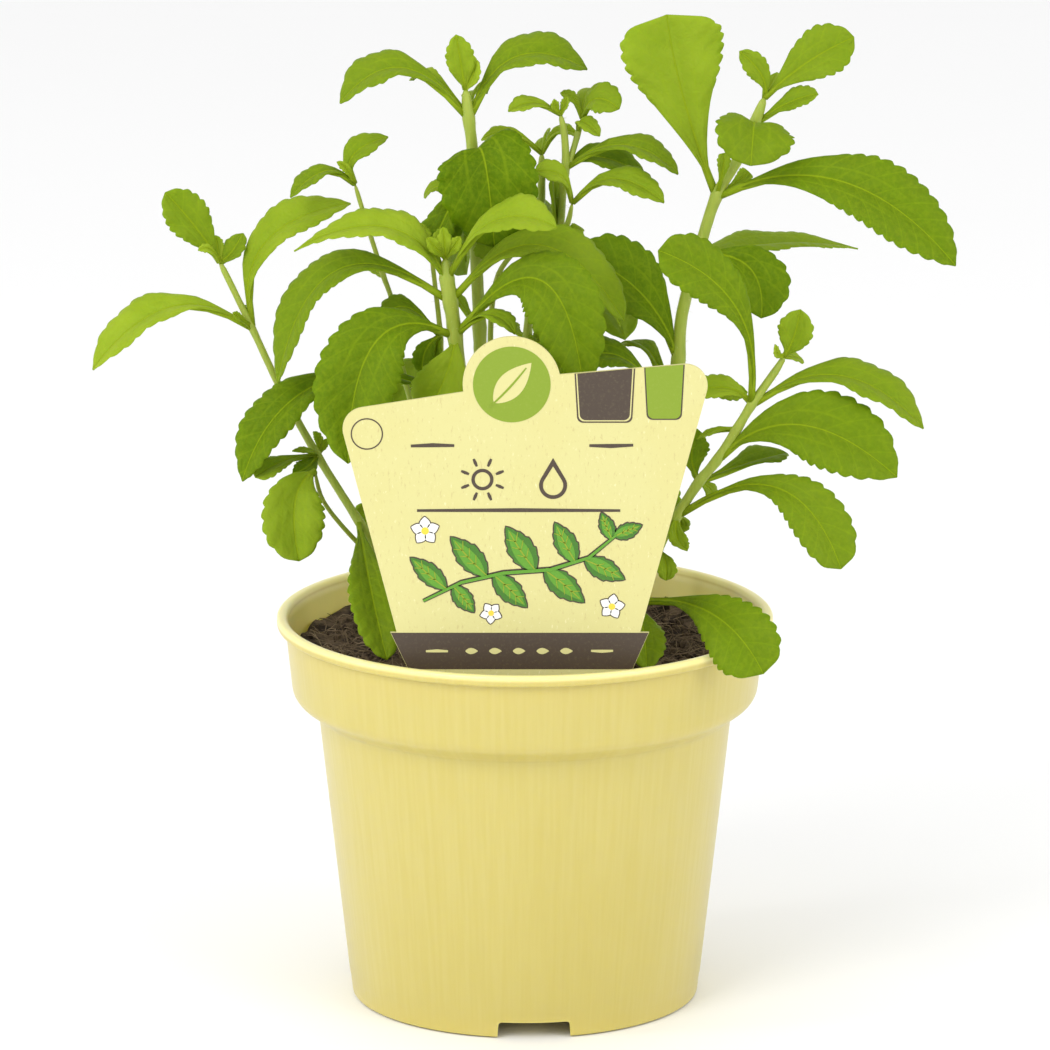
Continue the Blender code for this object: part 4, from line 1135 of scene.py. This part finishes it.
def drain_cutter(i):
    azimuth = math.radians((i + 0.5) * 360 / DRAIN_COUNT)
    bm = bmesh.new()
    radius = DRAIN_RADIUS * MM
    bmesh.ops.create_cone(bm, cap_ends=True, segments=40, radius1=radius, radius2=radius, depth=6 * MM)
    place = (DRAIN_CIRCLE * math.sin(azimuth), -DRAIN_CIRCLE * math.cos(azimuth), FLOOR + 0.5)
    return cutter(f"drain_{i}", bm, place)


def build_pot(skin):
    """The moulded pot with its rounded collar, rolled lip, foot notches and drain holes."""
    pot = turned("nursery_pot", pot_profile(), POT_SIDES, skin)
    cutters = [notch_cutter(i) for i in range(NOTCH_COUNT)]
    cutters += [drain_cutter(i) for i in range(DRAIN_COUNT)]
    for tool in cutters:
        knife = pot.modifiers.new("cut", "BOOLEAN")
        knife.operation = "DIFFERENCE"
        knife.object = tool
    freeze(pot)
    for tool in cutters:
        bpy.data.objects.remove(tool)
    pot.data.shade_smooth()
    pot.data.set_sharp_from_angle(angle=math.radians(40))
    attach(pot, "root")
    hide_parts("pot")


# Soil


def soil_height(x, y):
    """The crumbly top of the soil: a low mound that dips to the wall, with clods."""
    r = math.hypot(x, y)
    mound = 1.6 * math.cos(min(r / 50, 1.0) * math.pi / 2)
    swell = 0.7 * math.sin(3 * math.atan2(y, x) + r / 9)
    clods = 1.1 * noise.noise(Vector((x, y, 3.0)) * 0.16)
    grit = 0.7 * noise.noise(Vector((x, y, 9.0)) * 0.55)
    grit += 0.35 * noise.noise(Vector((x, y, 1.0)) * 1.6)
    bank = 1.6 * max(0.0, (r - 42.0) / 12.0)
    return SOIL_TOP + mound + swell + clods + grit + bank


def join_rings(bm, rings):
    """Faces between each ring of vertices and the next."""
    for a, b in zip(rings, rings[1:]):
        for k in range(len(a)):
            after = (k + 1) % len(a)
            bm.faces.new((a[k], b[k], b[after], a[after]))


def build_soil(skin):
    """The plug of soil that fills the pot, with a rough top."""
    bm = bmesh.new()
    centre = bm.verts.new((0, 0, soil_height(0, 0) * MM))
    angles = turns(SOIL_SIDES)
    grid = []
    for i in range(1, SOIL_RINGS + 1):
        r = SOIL_RADIUS * i / SOIL_RINGS
        ring = []
        for a in angles:
            x, y = r * math.cos(a), r * math.sin(a)
            ring.append(bm.verts.new((x * MM, y * MM, soil_height(x, y) * MM)))
        grid.append(ring)
    floor_top = FLOOR + FLOOR_THICKNESS + 0.3
    inner = outer_radius(floor_top) - WALL - 0.3
    for r, z in ((SOIL_RADIUS, BAND_FOOT + 1.0), (BAND_FOOT_RADIUS - 3.4, BAND_FOOT - 1.4),
                 (WALL_TOP_RADIUS - 1.5, WALL_TOP + 0.5), (inner, floor_top)):
        grid.append([bm.verts.new((r * math.cos(a) * MM, r * math.sin(a) * MM, z * MM)) for a in angles])
    for k in range(SOIL_SIDES):
        bm.faces.new((centre, grid[0][k], grid[0][(k + 1) % SOIL_SIDES]))
    join_rings(bm, grid)
    bm.faces.new(reversed(grid[-1]))
    return built("soil_plug", bm, skin)


def soil_spot(rng, reach):
    r = reach * math.sqrt(rng.random())
    a = rng.uniform(0, 2 * math.pi)
    return r * math.cos(a), r * math.sin(a)


def build_crumbs(skin):
    """Loose crumbs of peat on the soil."""
    rng = random.Random(11)
    bm = bmesh.new()
    for _ in range(CRUMBS):
        x, y = soil_spot(rng, LOOSE_REACH)
        size = rng.uniform(0.3, 1.1)
        made = bmesh.ops.create_icosphere(bm, subdivisions=1, radius=size * MM)
        offset = Vector((x, y, soil_height(x, y) + size * 0.35))
        for vert in made["verts"]:
            bumpy = 1.0 + 0.4 * noise.noise(vert.co / MM * 1.3 + offset)
            vert.co = (vert.co / MM * bumpy + offset) * MM
    return built("soil_crumbs", bm, skin, smooth=False)


def build_fibres(skin):
    """Tan plant fibres that lie tangled in the soil's top."""
    rng = random.Random(23)
    upright = Vector((0, 0, 1))
    bm = bmesh.new()
    for _ in range(FIBRES):
        x, y = soil_spot(rng, FIBRE_REACH)
        a = rng.uniform(0, 2 * math.pi)
        length = rng.uniform(4, 13)
        bendy = rng.uniform(-0.16, 0.16)
        radius = rng.uniform(0.06, 0.16)
        lift = rng.uniform(-0.4, 2.4)
        rings = []
        for i in range(FIBRE_POINTS):
            t = i / (FIBRE_POINTS - 1)
            heading = Vector((math.cos(a), math.sin(a), 0.0))
            side = Vector((-heading.y, heading.x, 0.0))
            if math.hypot(x, y) > LOOSE_REACH:
                break
            rise = lift * math.sin(math.pi * t) + 0.15
            place = Vector((x, y, soil_height(x, y) + rise))
            slim = radius * (1.0 - 0.6 * abs(2 * t - 1) ** 3)
            rings.append([bm.verts.new((place + out * slim) * MM)
                          for out in (side, upright, -side, -upright)])
            x += heading.x * length / FIBRE_POINTS
            y += heading.y * length / FIBRE_POINTS
            a += bendy
        if len(rings) < 3:
            continue
        join_rings(bm, rings)
        bm.faces.new(rings[0])
        bm.faces.new(reversed(rings[-1]))
    bmesh.ops.recalc_face_normals(bm, faces=bm.faces)
    return built("soil_fibres", bm, skin)


def dress_soil(peat):
    """The soil's three pieces, in their places and with their own scale of specks."""
    pieces = (build_soil(soil_material("peat", peat, PEAT_DARK, PEAT_BROWN, 160.0)),
              build_crumbs(soil_material("peat_crumb", peat, PEAT_DARK, PEAT_BROWN, 320.0)),
              build_fibres(soil_material("peat_fibre", peat, PEAT_BROWN, FIBRE_TAN, 90.0)))
    for obj in pieces:
        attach(obj, "root")
        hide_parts("soil")


# Label


def arc(centre, radius, start, end, count):
    """Points on an arc, angles in degrees anticlockwise from +X."""
    angles = [math.radians(start + (end - start) * i / count) for i in range(count + 1)]
    return [(centre[0] + radius * math.cos(a), centre[1] + radius * math.sin(a)) for a in angles]


def label_outline():
    """The card's outline in its own plane, anticlockwise from the stake's foot, as (x, z)."""
    lobe_x, lobe_z, lobe_r = LABEL_LOBE
    shoulder = STAKE_FOOT + 5
    right = [(STAKE_HALF, shoulder), (STAKE_HALF, 87.4), (24.4, 89.0), (25.4, 92.2), (29.3, 101.3),
             (27.2, 101.3)]
    left = [(-30.3, 101.3), (-31.8, 101.3), (-27.6, 92.2), (-26.6, 89.0), (-STAKE_HALF, 87.4),
            (-STAKE_HALF, shoulder)]
    top_right = arc((37.6, 161.0), 5.2, -15, 96, 14)
    top_left = arc((-37.6, 150.6), 5.2, 98, 197, 14)
    lobe = arc((lobe_x, lobe_z), lobe_r, 12, 189, 48)
    return [(0.0, STAKE_FOOT), *right, *top_right, *lobe, *top_left, *left]


def flat_piece(name, outline, thickness, front, skin, holes=()):
    """A flat piece cut to the outline, its front face that far in front of the card's middle."""
    curve = bpy.data.curves.new(name, "CURVE")
    curve.dimensions = "2D"
    curve.fill_mode = "BOTH"
    curve.extrude = thickness / 2 * MM
    for loop in (outline, *holes):
        spline = curve.splines.new("POLY")
        spline.points.add(len(loop) - 1)
        for point, (x, z) in zip(spline.points, loop):
            point.co = (x * MM, z * MM, 0.0, 1.0)
        spline.use_cyclic_u = True
    source = add_object(name + "_curve", curve)
    source.rotation_euler.x = math.pi / 2
    source.location.y = (LABEL_BACK - front + thickness / 2) * MM
    bpy.context.view_layer.update()
    graph = bpy.context.evaluated_depsgraph_get()
    mesh = bpy.data.meshes.new_from_object(source.evaluated_get(graph))
    mesh.transform(source.matrix_world)
    bpy.data.objects.remove(source)
    obj = add_object(name, mesh, skin)
    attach(obj, "root")
    return obj


def heading_at(angle):
    """A direction in the card's plane, from its angle in degrees anticlockwise from +X."""
    angle = math.radians(angle)
    return Vector((math.cos(angle), math.sin(angle)))


def left_of(along):
    return Vector((-along.y, along.x))


def leaf_shape(foot, tip, width, teeth=0):
    """A drawn leaf's outline from its foot to its tip."""
    foot, tip = Vector(foot), Vector(tip)
    along = tip - foot
    side = left_of(along).normalized()
    count = 22
    left, right = [], []
    for i in range(1, count):
        t = i / count
        half = width / 2 * math.sin(math.pi * t ** 0.85) ** 0.9
        half += 0.10 * width * (teeth * t % 1.0 - 0.5) * math.sin(math.pi * t) if teeth else 0.0
        left.append(tuple(foot + along * t + side * half))
        right.append(tuple(foot + along * t - side * half))
    return [tuple(foot), *right, tuple(tip), *reversed(left)]


def stroke(points, width):
    """The outline of a pen line through the points, thinner at both ends."""
    points = [Vector(p) for p in points]
    last = len(points) - 1
    left, right = [], []
    for i, p in enumerate(points):
        along = (points[min(i + 1, last)] - points[max(i - 1, 0)]).normalized()
        side = left_of(along)
        half = width / 2 * (1.0 - 0.35 * abs(2 * i / last - 1) ** 2)
        left.append(tuple(p + side * half))
        right.append(tuple(p - side * half))
    return [*right, *reversed(left)]


def bow(start, end, sag, count=10):
    """Points on a shallow curve between two points."""
    start, end = Vector(start), Vector(end)
    side = left_of(end - start).normalized()
    shares = [i / count for i in range(count + 1)]
    return [tuple(start.lerp(end, t) + side * sag * math.sin(math.pi * t)) for t in shares]


def print_layer(name, outlines, lift, skin):
    """One ink layer on the card: every outline in it, as one thin piece on the card's front."""
    bm = bmesh.new()
    for i, outline in enumerate(outlines):
        piece = flat_piece(f"{name}_{i}", outline, INK, LABEL_THICKNESS / 2 + lift * INK, skin)
        bm.from_mesh(piece.data)
        bpy.data.objects.remove(piece)
    obj = built(name, bm, skin, smooth=False)
    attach(obj, "root")


def tab_outline(left, right, top_left, top_right, foot):
    """A tab that hangs from the card's top edge, with straight sides that slant in a little and round
    lower corners.
    """
    inset, round_off = 0.6, 1.4
    low_right = arc((right - inset - round_off, foot + round_off), round_off, -5, -90, 5)
    low_left = arc((left + inset + round_off, foot + round_off), round_off, 270, 185, 5)
    return [(right, top_right), *low_right, *low_left, (left, top_left)]


def grown(outline, margin):
    """The outline moved outwards all round by a margin."""
    points = [Vector(p) for p in outline]
    area = sum(a.x * b.y - b.x * a.y for a, b in zip(points, points[1:] + points[:1]))
    out = []
    for i, p in enumerate(points):
        along = (points[(i + 1) % len(points)] - points[i - 1]).normalized()
        side = -left_of(along) if area > 0 else left_of(along)
        out.append(tuple(p + side * margin))
    return out


def flower(centre, size, turn):
    """Outlines of five round petals about a centre."""
    centre = Vector(centre)
    ways = [heading_at(turn + 72 * k) for k in range(5)]
    return [leaf_shape(centre + way * size * 0.12, centre + way * size, size * 0.72) for way in ways]


# The drawn sprig, as (x, z) on the card: a leaf is (foot, tip, width), a flower (centre, size, turn).
SPRIG_STEM = ((-24.0, 109.0), (-15.0, 113.5), (-5.0, 115.8), (6.0, 116.6), (15.0, 119.5), (21.5, 125.0))
SPRIG_LEAVES = (
    ((-18.5, 112.0), (-27.0, 119.5), 4.6), ((-17.0, 112.6), (-12.0, 106.2), 4.2),
    ((-9.0, 115.2), (-17.5, 124.5), 5.6), ((-7.5, 115.4), (0.5, 107.4), 5.2),
    ((2.5, 116.4), (-4.5, 127.0), 6.0), ((4.5, 116.6), (14.0, 108.6), 5.6),
    ((12.0, 118.4), (7.0, 128.0), 5.0), ((14.0, 119.0), (23.5, 114.2), 5.0),
    ((20.5, 124.0), (18.0, 130.4), 3.4), ((21.0, 124.6), (27.5, 127.4), 3.6),
)
FLOWERS = (((-23.5, 126.0), 3.4, 20), ((-8.0, 106.0), 2.6, 50), ((20.5, 107.6), 3.0, 80))


def print_sprig(inks):
    """The drawn sprig: outlined leaves in pairs on a bowed stem, and a few small flowers."""
    leaves = [leaf_shape(*leaf, teeth=5) for leaf in SPRIG_LEAVES]
    outlines = [grown(leaf, 0.32) for leaf in leaves] + [stroke(SPRIG_STEM, 1.5)]
    print_layer("sprig_outline", outlines, 1, inks["brown"])
    print_layer("sprig_leaves", leaves, 2, inks["leaf"])
    shades, veins = [], []
    for foot, tip, width in SPRIG_LEAVES:
        foot, tip = Vector(foot), Vector(tip)
        along = tip - foot
        side = left_of(along).normalized()
        shades.append(leaf_shape(foot + side * width * 0.10, tip - along * 0.06, width * 0.62))
        veins.append(stroke(bow(foot, foot.lerp(tip, 0.88), width * 0.05), 0.34))
        for share in (0.3, 0.48, 0.66):
            root = foot.lerp(tip, share)
            for hand in (-1, 1):
                end = root + along * 0.13 + side * hand * width * 0.26
                veins.append(stroke((root, root.lerp(end, 0.5), end), 0.24))
    print_layer("sprig_lights", shades, 3, inks["sprig"])
    print_layer("sprig_stem", [stroke(SPRIG_STEM, 0.8)], 5, inks["sprig"])
    print_layer("sprig_veins", veins, 4, inks["yellow_green"])
    petals = [petal for place, size, turn in FLOWERS for petal in flower(place, size, turn)]
    print_layer("flower_outline", [grown(petal, 0.25) for petal in petals], 1, inks["brown"])
    print_layer("flower_petals", petals, 2, inks["white"])
    eyes = [arc(place, size * 0.26, 0, 345, 23) for place, size, _ in FLOWERS]
    print_layer("flower_eyes", eyes, 3, inks["yellow"])


SUN = (-10.0, 138.4)
DROP = (6.6, 137.0)


def print_care_signs(ink):
    """Two plain signs in a row, a sun and a water drop, as plant labels have them."""
    ring = [arc(SUN, radius, 0, 350, 35) for radius in (2.6, 1.8)]
    flat_piece("sun_ring", ring[0], INK, FIRST_INK, ink, holes=ring[1:])
    x, z = DROP
    drop = [(x, z + 6.6), *arc(DROP, 3.3, 150, 390, 24)]
    hollow = [(x, z + 4.6), *arc(DROP, 2.4, 152, 388, 24)]
    flat_piece("drop_ring", drop, INK, FIRST_INK, ink, holes=(hollow,))
    ways = [heading_at(22.5 + 45 * k) for k in range(8)]
    rays = [stroke([Vector(SUN) + way * reach for reach in (3.4, 4.4, 5.4)], 0.8) for way in ways]
    print_layer("sun_rays", rays, 1, ink)


# The card's other print, as (x, z) on the card. A rule is (its points, its width).
BAND = ((25.35, 92.3), (29.15, 101.2), (-31.65, 101.2), (-27.55, 92.3))
BAND_DASHES = (((-23.4, 96.7), (-20.8, 96.8), (-18.2, 96.7)), ((15.6, 96.8), (18.2, 96.7), (20.8, 96.8)))
BAND_DOTS = (-12.6, -7.0, -1.4, 4.2, 9.8)
BAND_MIDDLE = 96.75
RULES = (
    (((-26.8, 146.5), (-21.7, 146.7), (-16.6, 146.6)), 1.0),
    (((15.1, 146.6), (20.2, 146.5), (25.4, 146.7)), 1.0),
    (((-25.4, 130.9), (-1.5, 131.0), (22.4, 130.9)), 0.95),
)
BROWN_TAB_LAYERS = (("edge", 0.0, "brown"), ("line", 0.35, "cream"), ("fill", 0.65, "brown"))
DISC_RADIUS = 9.1
CORNER = (-37.1, 149.4)


def brown_tab(margin):
    return tab_outline(11.6 + margin, 25.8 - margin, 163.92, 165.15, 152.1 + margin)


def green_tab(margin):
    return tab_outline(27.9 + margin, 37.4 - margin, 165.33, 166.1, 152.8 + margin)


def build_label(grain):
    """The card with its print: a brown band, two tabs, a disc on the lobe, rules, signs, a sprig."""
    front = LABEL_THICKNESS / 2
    card = flat_piece("card_label", label_outline(), LABEL_THICKNESS, front, card_material(grain))
    soften = card.modifiers.new("edge", "BEVEL")
    soften.width = 0.12 * MM
    soften.segments = 2
    soften.limit_method = "ANGLE"
    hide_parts("plant_label")
    inks = {name: ink_material("ink_" + name, grain, colour) for name, colour in INKS.items()}
    print_layer("band", [BAND], 1, inks["brown"])
    dashes = [stroke(dash, 0.75) for dash in BAND_DASHES]
    dots = [leaf_shape((x - 1.5, BAND_MIDDLE), (x + 1.5, BAND_MIDDLE), 1.5) for x in BAND_DOTS]
    print_layer("band_marks", dashes + dots, 2, inks["cream"])
    for lift, (name, margin, ink) in enumerate(BROWN_TAB_LAYERS, start=1):
        print_layer("tab_" + name, [brown_tab(margin)], lift, inks[ink])
    print_layer("green_tab_edge", [green_tab(0.0)], 1, inks["brown"])
    print_layer("green_tab_fill", [green_tab(0.3)], 2, inks["green"])
    print_layer("rules", [stroke(*rule) for rule in RULES], 1, inks["brown"])
    x, z, _ = LABEL_LOBE
    print_layer("disc", [arc((x, z), DISC_RADIUS, 0, 355, 71)], 1, inks["green"])
    leaf = leaf_shape((x - 4.2, z - 4.4), (x + 4.6, z + 5.2), 6.0)
    print_layer("disc_leaf", [leaf], 2, inks["cream"])
    vein = stroke(bow((x - 5.2, z - 5.4), (x + 3.4, z + 4.0), -0.3), 0.5)
    print_layer("disc_vein", [vein], 3, inks["green"])
    ring = [arc(CORNER, radius, 0, 355, 47) for radius in (3.8, 3.5)]
    flat_piece("corner_ring", ring[0], INK, FIRST_INK, inks["brown"], holes=ring[1:])
    print_care_signs(inks["brown"])
    print_sprig(inks)


# Studio


def build_floor():
    bm = bmesh.new()
    bmesh.ops.create_grid(bm, x_segments=2, y_segments=2, size=FLOOR_HALF_SIZE)
    floor = built("floor", bm, floor_material(), smooth=False)
    floor.location.z = -FLOOR_DROP


def add_area_light(name, place, aim, size, power):
    lamp = bpy.data.lights.new(name, "AREA")
    lamp.shape = "RECTANGLE"
    lamp.size, lamp.size_y = size
    lamp.energy = power
    obj = add_object(name, lamp)
    obj.location = place
    obj.rotation_euler = (Vector(aim) - Vector(place)).to_track_quat("-Z", "Y").to_euler()


def build_studio():
    """A pale floor, a bright even surround, a soft light on either side and a narrow one on the left."""
    build_floor()
    world = bpy.data.worlds.new("studio")
    world.use_nodes = True
    backdrop = world.node_tree.nodes["Background"]
    backdrop.inputs["Color"].default_value = (1.0, 1.0, 1.0, 1.0)
    backdrop.inputs["Strength"].default_value = WORLD_LIGHT
    bpy.context.scene.world = world
    bpy.context.scene.view_settings.view_transform = "Standard"
    add_area_light("key", (-0.8, -1.2, 1.2), (0.0, 0.0, 0.12), (0.7, 0.9), KEY_LIGHT)
    add_area_light("strip", (-0.9, -0.25, 0.35), (0.0, 0.0, 0.08), (0.12, 0.7), STRIP_LIGHT)
    add_area_light("fill", (1.2, -1.0, 0.8), (0.0, 0.0, 0.12), (0.9, 0.9), FILL_LIGHT)


def build_camera():
    lens = bpy.data.cameras.new("camera")
    lens.lens = CAMERA_LENS
    lens.sensor_width = SENSOR_WIDTH
    lens.clip_end = CLIP_END
    camera = add_object("camera", lens)
    camera.location = EYE * MM
    camera.rotation_euler = (math.radians(90.0 - CAMERA_PITCH), 0.0, 0.0)
    bpy.context.scene.camera = camera


def main():
    build_camera()
    build_studio()
    build_pot(pot_material())
    dress_soil(peat_group())
    build_label(grain_group())
    skins = (leaf_material(vein_group()), stem_material(), hair_material())
    for name, plan in STEMS.items():
        build_stem(name, plan, skins)


main()
